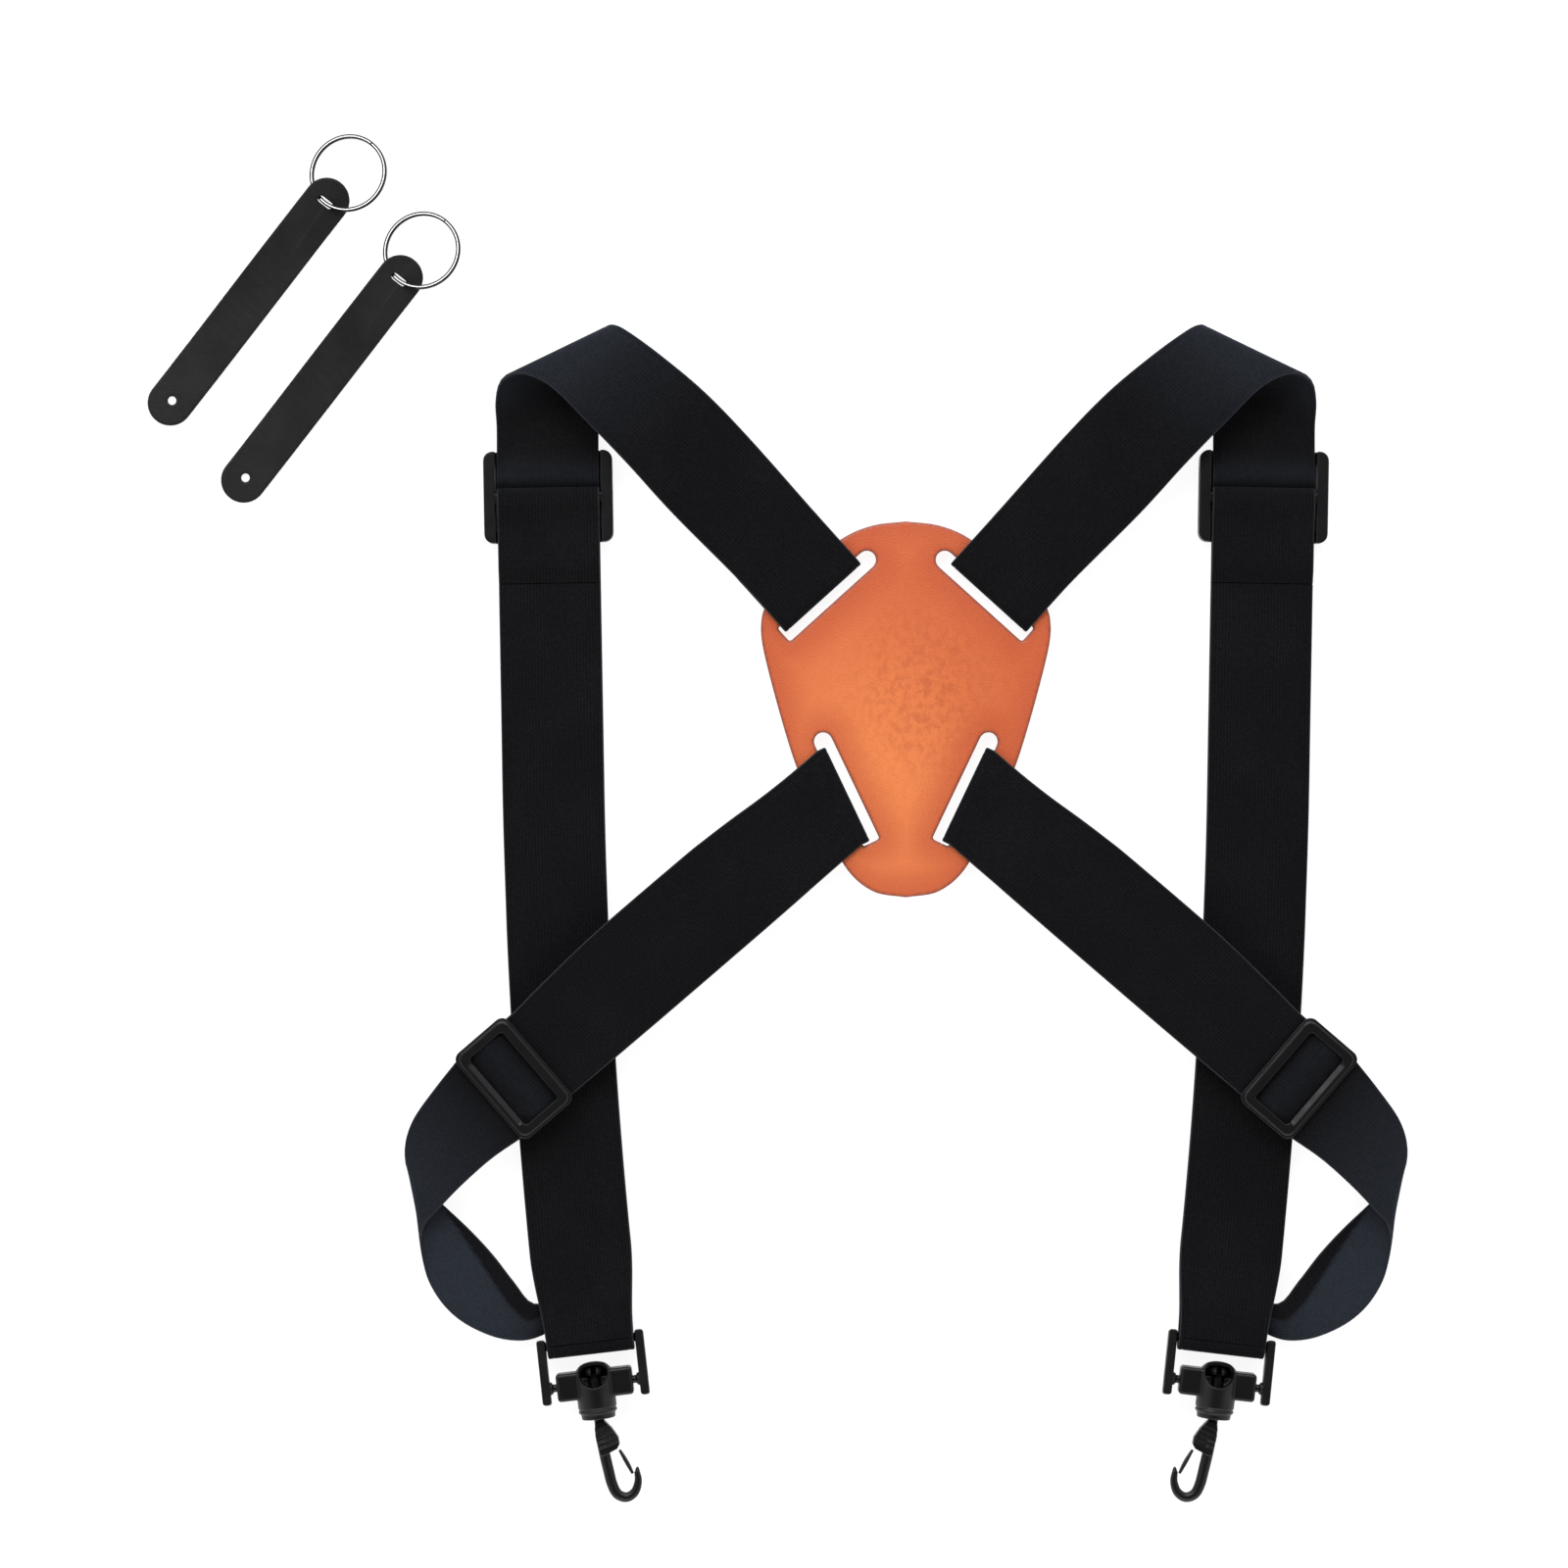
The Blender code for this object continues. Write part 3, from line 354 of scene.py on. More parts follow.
def put(name, shape, mirrored, surface, sharp=40):
    if mirrored:
        bmesh.ops.scale(shape, vec=(-1, 1, 1), verts=shape.verts)
        bmesh.ops.reverse_faces(shape, faces=shape.faces)
    for vertex in shape.verts:
        vertex.co = ORIGIN + vertex.co * MM
    mesh = bpy.data.meshes.new(name)
    shape.to_mesh(mesh)
    shape.free()
    mesh.shade_smooth()
    mesh.set_sharp_from_angle(angle=math.radians(sharp))
    mesh.materials.append(surface)
    piece = bpy.data.objects.new(name, mesh)
    bpy.context.collection.objects.link(piece)
    made.append(piece)
    return piece


def stand_for(piece, node):
    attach(piece, BODY_OF[node])
    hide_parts(node)
    return piece


def report(title):
    """Print what was made since the last report."""
    triangles = 0
    for piece in made:
        piece.data.calc_loop_triangles()
        triangles += len(piece.data.loop_triangles)
    print(f"{title}: {len(made)} pieces, {triangles} triangles")
    made.clear()


# %% [markdown]
# ## Webbing
# A strap is a row of stations. Each station has the strap's middle and the way to its edge, and it may say how much
# painted sheen it carries, how high it bows, and how wide a margin of it is turned over. A smooth curve runs
# through a few listed stations, and everything between them is worked out.

# %% Stations
WEB_WIDTH, WEB_THICK, PLY = 38.0, 1.3, 1.6
STEP = 2.5  # between sections along a strap


# stretch: how much painted pale sheen a station carries.
def station(middle, half, stretch=0.0, bow=0.0, margin=0.0):
    return (middle, half, Vector((stretch, bow, margin)))


def edges(outer, inner, z, z_inner=None, **extra):
    """A station from the places of the strap's two edges."""
    a = Vector((*outer, z))
    b = Vector((*inner, z if z_inner is None else z_inner))
    return station((a + b) / 2, (a - b) / 2, **extra)


def catmull(a, b, c, d, t):
    return 0.5 * (2 * b + (c - a) * t + (2 * a - 5 * b + 4 * c - d) * t**2 + (3 * b - a - 3 * c + d) * t**3)


def smoothed(stations):
    """The stations with more between them, about a step apart, ending on the last one."""
    first, last = stations[0], stations[-1]
    before = tuple(2 * p - q for p, q in zip(first, stations[1]))
    after = tuple(2 * p - q for p, q in zip(last, stations[-2]))
    row = [before, *stations, after]
    result = []
    for a, b, c, d in zip(row, row[1:], row[2:], row[3:]):
        count = max(1, round((c[0] - b[0]).length / STEP))
        for i in range(count):
            t = i / count
            middle, half = (catmull(a[k], b[k], c[k], d[k], t) for k in (0, 1))
            result.append((middle, half, b[2].lerp(c[2], t)))
    return [*result, last]


def turn(middle, half, bulge, radius, upwards=False, steps=14, **extra):
    """A half turn round an edge, from top to bottom, or the other way."""
    stations = []
    for i in range(steps + 1):
        angle = math.pi * i / steps
        offset = UP * radius * math.cos(angle) + bulge * radius * math.sin(angle)
        stations.append(station(middle + offset, half.copy(), **extra))
    return stations[::-1] if upwards else stations


def heading(degrees):
    return Vector((math.cos(math.radians(degrees)), math.sin(math.radians(degrees)), 0))


def ease(t):
    t = min(max(t, 0.0), 1.0)
    return t * t * (3 - 2 * t)


def at_height(point, z):
    return Vector((point.x, point.y, z))


# %% [markdown]
# The strap's section is flat with round edges, and a shallow groove marks off each selvage, as on woven elastic.
# A turned margin gets a ridge along its fold and drops a little on its outer side. The whole strap also moves up
# and down by a tenth of a millimetre or two over its length. That ripple depends only on the place, so plies that
# lie on each other move together.

# %% Section and strip
GROOVE_AT, GROOVE_WIDE, GROOVE_DEEP = 2.0, 0.5, 0.13
RIDGE_HIGH, MARGIN_DROP = 0.45, 0.7
ACROSS = 21  # places across the flat of a strap
RIPPLE = 0.16


def section(half_width):
    """(across, up, painted edge highlight) round a strap, anticlockwise from its outer edge."""
    r = WEB_THICK / 2
    arc = [math.radians(a) for a in (0, 30, 60)]
    top = [(half_width - r + r * math.cos(a), r * math.sin(a), math.cos(a)) for a in arc]
    inside = half_width - GROOVE_AT - GROOVE_WIDE
    top += [(half_width - r, r, 0), (half_width - GROOVE_AT + GROOVE_WIDE, r, 0)]
    top += [(half_width - GROOVE_AT, r - GROOVE_DEEP, 0)]
    top += [(inside * (1 - 2 * i / (ACROSS - 1)), r, 0) for i in range(ACROSS)]
    top += [(-x, z, s) for x, z, s in reversed(top[:6])]
    return top + [(x, -z, s) for x, z, s in reversed(top[1:-1])]


def ripple(place):
    return RIPPLE * (noise.noise(place / 34) + 0.4 * noise.noise(place / 13))


def strip(stations):
    """A closed strap through its stations, with its weave map and the values that the webbing's finish reads."""
    shape = bmesh.new()
    uv = shape.loops.layers.uv.new("weave")
    painted_sheen_at = shape.verts.layers.float.new("stretch")
    painted_edge_highlight_at = shape.verts.layers.float.new("painted_edge_highlight")
    rings, maps, last, run = [], [], len(stations) - 1, 0.0
    for i, (middle, half, (stretch, bow, margin)) in enumerate(stations):
        before, after = stations[max(i - 1, 0)][0], stations[min(i + 1, last)][0]
        lift = (after - before).cross(half).normalized()
        side = half.normalized()
        width = half.length
        run += (middle - before).length
        ring, places = [], []
        for across, up, painted_edge_highlight in section(width):
            inwards = width - across
            high = up + bow * (1 - (across / width) ** 2)
            turned = 0.0
            if margin:
                turned = 1 - ease((inwards - margin + 0.7) / 1.4)
                high += RIDGE_HIGH * math.exp(-(((inwards - margin) / 1.1) ** 2)) - MARGIN_DROP * turned
            point = middle + side * across + lift * high
            point.z += ripple(Vector((point.x, point.y, 0)))
            vertex = shape.verts.new(point)
            # A painted sheen, kept off a turned margin, and a painted highlight on the strap's edges.
            vertex[painted_sheen_at] = min(max(stretch, 0), 1) * (1 - turned)
            vertex[painted_edge_highlight_at] = painted_edge_highlight
            ring.append(vertex)
            places.append((run * MM, across * MM))
        rings.append(ring)
        maps.append(places)
    count = len(rings[0])
    for i in range(last):
        for k in range(count):
            j = (k + 1) % count
            face = shape.faces.new((rings[i][k], rings[i][j], rings[i + 1][j], rings[i + 1][k]))
            for loop, spot in zip(face.loops, (maps[i][k], maps[i][j], maps[i + 1][j], maps[i + 1][k])):
                loop[uv].uv = spot
    for ring, places in ((rings[0], maps[0]), (rings[-1], maps[-1])):
        for loop, spot in zip(shape.faces.new(ring).loops, places):
            loop[uv].uv = spot
    bmesh.ops.recalc_face_normals(shape, faces=shape.faces)
    return shape


print("a strap's section has", len(section(WEB_WIDTH / 2)), "points")

# %% [markdown]
# These are the places that the straps share with the yoke and the hooks. Headings are in degrees from the X axis.
# Each front strap leans a degree and curves inwards lower down, to the crossbar of its hook frame.

# %% Shared places
UNDER_YOKE, ON_YOKE = 1.0, 6.1
LOOP_RADIUS = (ON_YOKE - UNDER_YOKE) / 2
FRONT_LEVEL, RETURN_LEVEL, SIDE_LEVEL = 2.8, 4.4, 11.0
SHOULDER_HEADING, SIDE_HEADING, SIDE_SLOT_HEADING = 47.9, -40.7, 64.5
SHOULDER_ROOT, SHOULDER_WAY = Vector((32.8, 84.5, 0)), heading(SHOULDER_HEADING)
SHOULDER_OUT = heading(SHOULDER_HEADING - 90) * (WEB_WIDTH / 2)
SIDE_ROOT, SIDE_WAY, SIDE_UP = Vector((24.6, 7.8, 0)), heading(SIDE_HEADING), heading(SIDE_HEADING + 90)
SLOT_SIDE_WAY, SIDE_SLOT_OUT = heading(SIDE_SLOT_HEADING), heading(SIDE_SLOT_HEADING - 90)
SIDE_WEB_WIDTH = 37.4
SIDE_HALF = SIDE_UP * (SIDE_WEB_WIDTH / 2)
SIDE_SKEW = SLOT_SIDE_WAY * (SIDE_WEB_WIDTH / 2 / SLOT_SIDE_WAY.dot(SIDE_UP))
FRONT_TOP = Vector((133.5, 137.0, 0))
FRONT_LEAN, FRONT_BEND, FRONT_BEND_Y = math.tan(math.radians(1.0)), 2.424e-4, 10.0
UPPER_SLIDER_Y, SIDE_SLIDER_AT = 119.9, 159.7
CROSSBAR_Y, CROSSBAR_LEVEL = -194.9, 5.3
INNER_BIGHT, OUTER_BIGHT, BIGHT_WIDTH = 2.4, 3.95, 32.4
NARROW_FROM, LIFT_FROM = -160, -150


def front_middle(y, level):
    x = FRONT_TOP.x + (y - FRONT_TOP.y) * FRONT_LEAN - FRONT_BEND * min(y - FRONT_BEND_Y, 0) ** 2
    return Vector((x, y, level))


def front_way(y):
    return Vector((FRONT_LEAN - 2 * FRONT_BEND * min(y - FRONT_BEND_Y, 0), 1, 0)).normalized()


def front_station(y, level, **extra):
    way = front_way(y)
    width = WEB_WIDTH - (WEB_WIDTH - BIGHT_WIDTH) * ease((y - NARROW_FROM) / (CROSSBAR_Y - NARROW_FROM))
    return station(front_middle(y, level), Vector((way.y, -way.x, 0)) * width / 2, **extra)


def lifted(y, level, end_level):
    """A level that changes over the last stretch, down to the crossbar."""
    return level + (end_level - level) * ease((y - LIFT_FROM) / (CROSSBAR_Y - LIFT_FROM))


CROSSBAR = front_middle(CROSSBAR_Y, CROSSBAR_LEVEL)
SIDE_SLIDER = at_height(SIDE_ROOT + SIDE_WAY * SIDE_SLIDER_AT, SIDE_LEVEL)
SIDE_SLIDER_PLACE = Matrix.Translation(SIDE_SLIDER) @ Matrix.Rotation(math.radians(90 + SIDE_HEADING), 4, "Z")
UPPER_SLIDER_PLACE = Matrix.Translation(front_middle(UPPER_SLIDER_Y, 0)) @ Matrix.Rotation(
    -math.atan(FRONT_LEAN), 4, "Z"
)
print("a crossbar's middle is", [round(v, 1) for v in CROSSBAR], "mm from the harness's own")

# %% [markdown]
# The shoulder strap starts under the yoke, where its end is sewn to itself. It comes up through the slot, climbs to
# the shoulder and folds over, and that fold is the highest part of the harness. It then passes under the slide's
# middle bar, with a soft hump where it comes out, and runs down to the turn round the crossbar.


# %% Shoulder strap
def shoulder_stations():
    under = [
        station(at_height(SHOULDER_ROOT + SHOULDER_WAY * t + SHOULDER_OUT * 0.04 * ease((t - 25) / 20), z),
                SHOULDER_OUT * (1 - 0.07 * ease((t - 25) / 15)))
        for t, z in ((46, 7.7), (42, 7.2), (34, 4.8), (25, 1.4), (18, UNDER_YOKE), (6, UNDER_YOKE))
    ]
    slot = turn(at_height(SHOULDER_ROOT, (ON_YOKE + UNDER_YOKE) / 2), SHOULDER_OUT, -SHOULDER_WAY, LOOP_RADIUS,
                upwards=True)  # fmt: skip
    over = [
        slot[-1],
        station(at_height(SHOULDER_ROOT + SHOULDER_WAY * 22, 7.4), SHOULDER_OUT),
        edges((86.6, 113.1), (57.9, 141.0), 10.7),
        edges((103.5, 131.6), (74.9, 158.4), 13.2),
        # From here over the shoulder fold, and on the hump below, a painted sheen is laid on through stretch.
        edges((119.0, 147.6), (90.8, 171.6), 15.5, stretch=0.2),
        edges((132.0, 160.2), (102.4, 180.0), 16.8, stretch=0.5),
        edges((143.5, 165.2), (107.6, 182.8), 14.7, stretch=0.45),
        edges((150.6, 162.6), (110.8, 182.2), 9.8, stretch=0.35),
        edges((152.9, 155.5), (113.2, 176.5), 4.9, stretch=0.2),
        edges((152.6, 146.5), (114.4, 164.5), 2.9),
        front_station(137, FRONT_LEVEL + 0.6, bow=0.2),
        front_station(131, FRONT_LEVEL + 2.1, stretch=0.15),
        front_station(126, FRONT_LEVEL + 2.6, stretch=0.25),
        front_station(122.8, FRONT_LEVEL + 0.9),
        front_station(119, FRONT_LEVEL),
    ]
    low = CROSSBAR_LEVEL - OUTER_BIGHT
    front = [front_station(y, lifted(y, FRONT_LEVEL, low)) for y in range(110, -195, -8)]
    front.append(front_station(CROSSBAR_Y + 2, low))
    bight = turn(CROSSBAR, front_station(CROSSBAR_Y, 0)[1], -front_way(CROSSBAR_Y), OUTER_BIGHT, upwards=True)
    return smoothed(under) + slot[:-1] + smoothed(over) + smoothed(front)[:-1] + bight


# %% [markdown]
# The same webbing comes back up on top of itself and ends in a sewn loop round the slide's middle bar. Its lower
# part never moves. The straight part above gets shorter as the slide comes down, so it is a piece of its own.


# %% Front return and upper sewn end
def half_circle(y, z, radius, steps=14):
    """(y, z) pairs of a half turn from over a bar to under it."""
    angles = [math.pi * i / steps for i in range(steps + 1)]
    return [(y + radius * math.sin(a), z + radius * math.cos(a)) for a in angles]


def in_place(path, half_width, place):
    """Stations from (y, z) pairs in a slide's own axes."""
    half = place.to_3x3() @ Vector((half_width, 0, 0))
    return [station(place @ Vector((0, y, z)), half.copy()) for y, z in path]


SLACK_FROM = -40.0
SEWN_BACK = 32.4


def front_return_stations():
    high = CROSSBAR_LEVEL + OUTER_BIGHT
    levels = [front_station(y, lifted(y, RETURN_LEVEL, high)) for y in range(-188, int(SLACK_FROM), 8)]
    return smoothed([front_station(CROSSBAR_Y + 0.4, high - 0.1), *levels, front_station(SLACK_FROM, RETURN_LEVEL)])


def front_slack_stations():
    return smoothed([front_station(y, RETURN_LEVEL) for y in (SLACK_FROM, 0, 40, UPPER_SLIDER_Y - SEWN_BACK)])


def upper_sewn_stations():
    tail, top = RETURN_LEVEL, 7.8
    over = [(-32, tail), (-30, tail + 0.4), (-27.5, tail + 1.4), (-25, tail + PLY), (-16, tail + PLY)]
    over += [(-9, tail + PLY), (-6, 6.6), (-3.5, 7.5), (-1.5, top)]
    round_bar = half_circle(1.0, (top + tail) / 2, (top - tail) / 2)
    under = [(1.0, tail), (-8, tail), (-16, tail), (-24, tail)]
    first = smoothed(in_place(over + [round_bar[0]], WEB_WIDTH / 2, UPPER_SLIDER_PLACE))
    last = smoothed(in_place(under, WEB_WIDTH / 2, UPPER_SLIDER_PLACE))
    return first[:-1] + in_place(round_bar[:-1], WEB_WIDTH / 2, UPPER_SLIDER_PLACE) + last


# %% [markdown]
# The side strap leaves the lower slot, slips under the bars of the lower slide with a bulge in its window, turns
# round under the arm and comes back to the same crossbar, inside the front strap's turn. Past the fold it shows its
# other face, which gets a painted pale sheen, as the bulge does. Along the inner edge of that stretch a margin is
# turned over, and the painted sheen is kept off it, so it stays black.


# %% Side strap
def side_stations():
    root = at_height(SIDE_ROOT, (ON_YOKE + UNDER_YOKE) / 2)
    slot = turn(root, SIDE_SKEW, -SIDE_SLOT_OUT, LOOP_RADIUS, upwards=True)
    start = [station(at_height(SIDE_ROOT + SIDE_WAY * t, UNDER_YOKE), SIDE_SKEW) for t in (7, 5, 3)]
    over = [slot[-1]]
    for t, z, skew, wider in ((12, 6.5, 0.75, 0), (24, 7.9, 0.4, 0.3), (36, 9.6, 0.1, 0.9), (48, 10.7, 0, 1.3),
                              (60, SIDE_LEVEL, 0, 1.5), (100, SIDE_LEVEL, 0, 1.5), (128, SIDE_LEVEL, 0, 0.7),
                              (143, SIDE_LEVEL, 0, 0)):  # fmt: skip
        middle = at_height(SIDE_ROOT + SIDE_WAY * t, z) + SIDE_UP * wider * 0.8
        over.append(station(middle, SIDE_HALF.lerp(SIDE_SKEW, skew) + SIDE_UP * wider))
    # The bulge in the slide's window gets a little painted sheen.
    for t, bulge in ((151.3, 0), (155, 0.9), (159.7, 1.5), (164.5, 0.8), (168, 0), (172, 0)):
        middle = at_height(SIDE_ROOT + SIDE_WAY * t, SIDE_LEVEL + bulge)
        over.append(station(middle, SIDE_HALF, stretch=0.12 * bulge))
    # The arm loop carries a painted sheen through stretch, strongest past its fold.
    arm_loop = [
        over[-1],
        edges((175.4, -100.6), (154.3, -126.5), 11.0, stretch=0.25),
        edges((182.8, -111.1), (165.8, -136.8), 10.6, stretch=0.45),
        edges((186.0, -119.8), (174.4, -145.8), 9.0, stretch=0.6),
        edges((186.0, -127.5), (179.2, -151.0), 6.6, stretch=0.6),
        edges((183.4, -133.5), (180.8, -156.5), 4.4, stretch=0.6),
        edges((178.6, -138.5), (180.4, -163.2), 3.2, stretch=0.8),
        edges((171.8, -144.5), (177.9, -172.8), 2.6, 1.6, stretch=1.0, margin=1.0),
        edges((162.8, -152.6), (172.0, -182.0), 4.0, 1.4, stretch=1.0, margin=4.5),
        edges((153.8, -162.0), (163.8, -188.8), 5.4, 1.6, stretch=1.0, margin=7.0),
        edges((145.8, -172.2), (152.6, -193.6), 6.0, 2.4, stretch=0.95, margin=8.5),
        edges((138.4, -180.4), (142.6, -194.6), 5.4, 3.4, stretch=0.7, margin=7.0),
        edges((126.4, -177.6), (135.3, -192.5), 4.6, 3.8, stretch=0.3, margin=3.0),
        edges((110.4, -176.9), (133.3, -190.2), 3.9, 3.7),
        edges((103.3, -183.4), (132.8, -188.9), 3.3, 3.3),
    ]
    half = -front_station(CROSSBAR_Y, 0)[1] * 0.94
    way = front_way(CROSSBAR_Y)
    bight = turn(CROSSBAR, half, -way, INNER_BIGHT, upwards=True)
    tail = [station(CROSSBAR + way * t + UP * z, half) for t, z in ((4, 2.1), (8, 1.4), (12, 0.7))]
    return smoothed(start)[:-1] + slot[:-1] + smoothed(over)[:-1] + smoothed(arm_loop) + bight + tail


SIDE_SEWN_BACK, SIDE_SLACK_FROM = 30.4, 58.0


def side_path(pairs):
    skews = {7.4: 1.0, 14: 0.8, 20: 0.6, 27: 0.4, 34: 0.2}
    return smoothed([
        station(at_height(SIDE_ROOT + SIDE_WAY * t, z), SIDE_HALF.lerp(SIDE_SKEW, skews.get(t, 0.0)))
        for t, z in pairs
    ])  # fmt: skip


def side_return_stations():
    level = SIDE_LEVEL - PLY
    return side_path([(7.4, UNDER_YOKE), (14, UNDER_YOKE), (20, 1.1), (27, 3.4), (34, 6.2), (41, 8.3),
                      (48, level - 0.2), (SIDE_SLACK_FROM, level)])  # fmt: skip


def side_slack_stations():
    return side_path([(t, SIDE_LEVEL - PLY) for t in (SIDE_SLACK_FROM, 90, SIDE_SLIDER_AT - SIDE_SEWN_BACK)])


def lower_sewn_stations():
    top, tail = -PLY, -PLY - 3.4
    round_bar = [(-y, z) for y, z in half_circle(1.0, (top + tail) / 2, (top - tail) / 2)]
    half = SIDE_WEB_WIDTH / 2
    first = smoothed(in_place([(30, top), (22, top), (14, top), (4, top), round_bar[0]], half, SIDE_SLIDER_PLACE))
    last = [round_bar[-1], (5, tail), (8, tail + 0.5), (11, tail + 1.7), (24, top - PLY)]
    last = smoothed(in_place(last, half, SIDE_SLIDER_PLACE))
    return first[:-1] + in_place(round_bar[:-1], half, SIDE_SLIDER_PLACE) + last


# %% Make the webbing
WEB_PIECES = {
    "shoulder_webbing": (shoulder_stations, "shoulder_strap"),
    "front_return_webbing": (front_return_stations, "front_return_ply"),
    "front_slack_webbing": (front_slack_stations, "front_return_ply"),
    "upper_sewn_webbing": (upper_sewn_stations, "upper_slider_sewn_end"),
    "side_webbing": (side_stations, "side_strap"),
    "side_return_webbing": (side_return_stations, "side_return_ply"),
    "side_slack_webbing": (side_slack_stations, "side_return_ply"),
    "lower_sewn_webbing": (lower_sewn_stations, "lower_slider_sewn_end"),
}
slack = {}
for side, mirrored in MIRRORED.items():
    for name, (stations, node) in WEB_PIECES.items():
        piece = put(f"{side}_{name}", strip(stations()), mirrored, webbing)
        stand_for(piece, f"{side}_{node}")
        slack[f"{side}_{name}"] = piece
report("webbing")


def length_of(stations):
    return sum((b[0] - a[0]).length for a, b in zip(stations, stations[1:]))


for name, (stations, _) in WEB_PIECES.items():
    print(f"  {name}: {length_of(stations()):.0f} mm")

# %% [markdown]
# Both ends of each strap are sewn. Two rows of stitches cross the plies on the upper and the lower face at the
# shoulder strap's end by the yoke and at both slides; the side strap's end at the crossbar has none. A Geometry
# Nodes tree walks along a row and sets one small rounded stitch at every step, so the rows keep their pitch
# whatever their length.


# %% Stitches
def stitch_tree():
    tree = bpy.data.node_groups.new("stitch_rows", "GeometryNodeTree")
    face = tree.interface
    face.new_socket("Geometry", in_out="INPUT", socket_type="NodeSocketGeometry")
    for name, value in (("Pitch", 0.0024), ("Stitch length", 0.00175), ("Thread radius", 0.00026)):
        face.new_socket(name, in_out="INPUT", socket_type="NodeSocketFloat").default_value = value
    face.new_socket("Thread", in_out="INPUT", socket_type="NodeSocketMaterial")
    face.new_socket("Geometry", in_out="OUTPUT", socket_type="NodeSocketGeometry")
    given = tree.nodes.new("NodeGroupInput").outputs
    result = tree.nodes.new("NodeGroupOutput").inputs
    row = add(tree, "GeometryNodeMeshToCurve", Mesh=given["Geometry"])
    steps = add(tree, "GeometryNodeResampleCurve", {"mode": "LENGTH"}, Curve=row.outputs[0], Length=given["Pitch"])
    along = add(tree, "GeometryNodeInputTangent")
    facing = add(tree, "FunctionNodeAlignRotationToVector", {"axis": "X"}, Vector=along.outputs[0])
    half_length, radius = calc(tree, "MULTIPLY", given["Stitch length"], 0.5), given["Thread radius"]
    size = add(tree, "ShaderNodeCombineXYZ", X=half_length, Y=radius, Z=radius)
    bead = add(tree, "GeometryNodeMeshUVSphere", Segments=8, Rings=6, Radius=1.0)
    placed = add(tree, "GeometryNodeInstanceOnPoints", Points=steps.outputs[0], Instance=bead.outputs["Mesh"],
                 Rotation=facing.outputs[0], Scale=size.outputs[0])  # fmt: skip
    real = add(tree, "GeometryNodeRealizeInstances", Geometry=placed.outputs[0])
    smooth = add(tree, "GeometryNodeSetShadeSmooth", Geometry=real.outputs[0])
    painted_thread = add(tree, "GeometryNodeSetMaterial", Geometry=smooth.outputs[0], Material=given["Thread"])
    tree.links.new(painted_thread.outputs[0], result["Geometry"])
    return tree


def grown(piece, tree, **inputs):
    """The piece with its Geometry Nodes result as a plain mesh."""
    modifier = piece.modifiers.new(tree.name, "NODES")
    modifier.node_group = tree
    sockets = {item.name: item.identifier for item in tree.interface.items_tree if item.in_out == "INPUT"}
    for name, value in inputs.items():
        modifier[sockets[name.replace("_", " ")]] = value
    bpy.context.view_layer.update()
    result = bpy.data.meshes.new_from_object(piece.evaluated_get(bpy.context.evaluated_depsgraph_get()))
    piece.modifiers.clear()
    piece.data = result
    return piece


STITCH_SINK = 0.1  # how far the thread's middle lies under the webbing's face


def sewn_row(stations, spot, face, inset=2.6, steps=12):
    """Points across a strap's upper (1) or lower (-1) face, at its station nearest to a spot."""
    place = min(range(1, len(stations) - 1), key=lambda i: (stations[i][0] - spot).length)
    middle, half, (_, bow, _) = stations[place]
    lift = (stations[place + 1][0] - stations[place - 1][0]).cross(half).normalized()
    if lift.z < 0:
        lift, bow = -lift, -bow
    width = half.length - inset
    points = []
    for i in range(steps + 1):
        across = width * (2 * i / steps - 1)
        high = face * (WEB_THICK / 2 - STITCH_SINK) + bow * (1 - (across / half.length) ** 2)
        point = middle + half.normalized() * across + lift * high
        point.z += ripple(Vector((point.x, point.y, 0)))
        points.append(point)
    return points


def rows(name, lines, mirrored):
    shape = bmesh.new()
    for points in lines:
        ends = [shape.verts.new(point) for point in points]
        for a, b in zip(ends, ends[1:]):
            shape.edges.new((a, b))
    return grown(put(name, shape, mirrored, thread), STITCHES, Thread=thread)


def on_shoulder(t, z):
    return at_height(SHOULDER_ROOT + SHOULDER_WAY * t, z)


def on_upper_slide(y, z):
    return UPPER_SLIDER_PLACE @ Vector((0, y, z))


def on_lower_slide(y, z):
    return SIDE_SLIDER_PLACE @ Vector((0, y, z))


STITCHES = stitch_tree()
shoulder, upper_sewn, lower_sewn = shoulder_stations(), upper_sewn_stations(), lower_sewn_stations()
SEWN = {
    "shoulder": ("shoulder_strap", [sewn_row(shoulder, on_shoulder(t, 9.5), 1) for t in (36, 41)]
                 + [sewn_row(shoulder, on_shoulder(t, 5.5), -1, 4.4) for t in (36, 41)]),
    "upper_end": ("upper_slider_sewn_end", [sewn_row(upper_sewn, on_upper_slide(y, 6), 1) for y in (-22, -17)]
                  + [sewn_row(upper_sewn, on_upper_slide(y, 4.4), -1) for y in (-22, -17)]),
    "lower_end": ("lower_slider_sewn_end", [sewn_row(lower_sewn, on_lower_slide(y, -1.6), 1) for y in (17, 21)]
                  + [sewn_row(lower_sewn, on_lower_slide(y, -3.2), -1) for y in (17, 21)]),
}  # fmt: skip
for side, mirrored in MIRRORED.items():
    for name, (node, lines) in SEWN.items():
        piece = rows(f"{side}_{name}_stitches", lines, mirrored)
        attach(piece, BODY_OF[f"{side}_{node}"])
report("stitches")

# %% [markdown]
# ## Solid pieces
# A moulded part has no sharp edge anywhere. So each one is joined and cut with Booleans, rebuilt with a fine voxel
# grid, and relaxed, which rounds every edge a little, as a mould does. The same way softens the cut edge of the
# leather. The voxel's size decides how much detail stays.


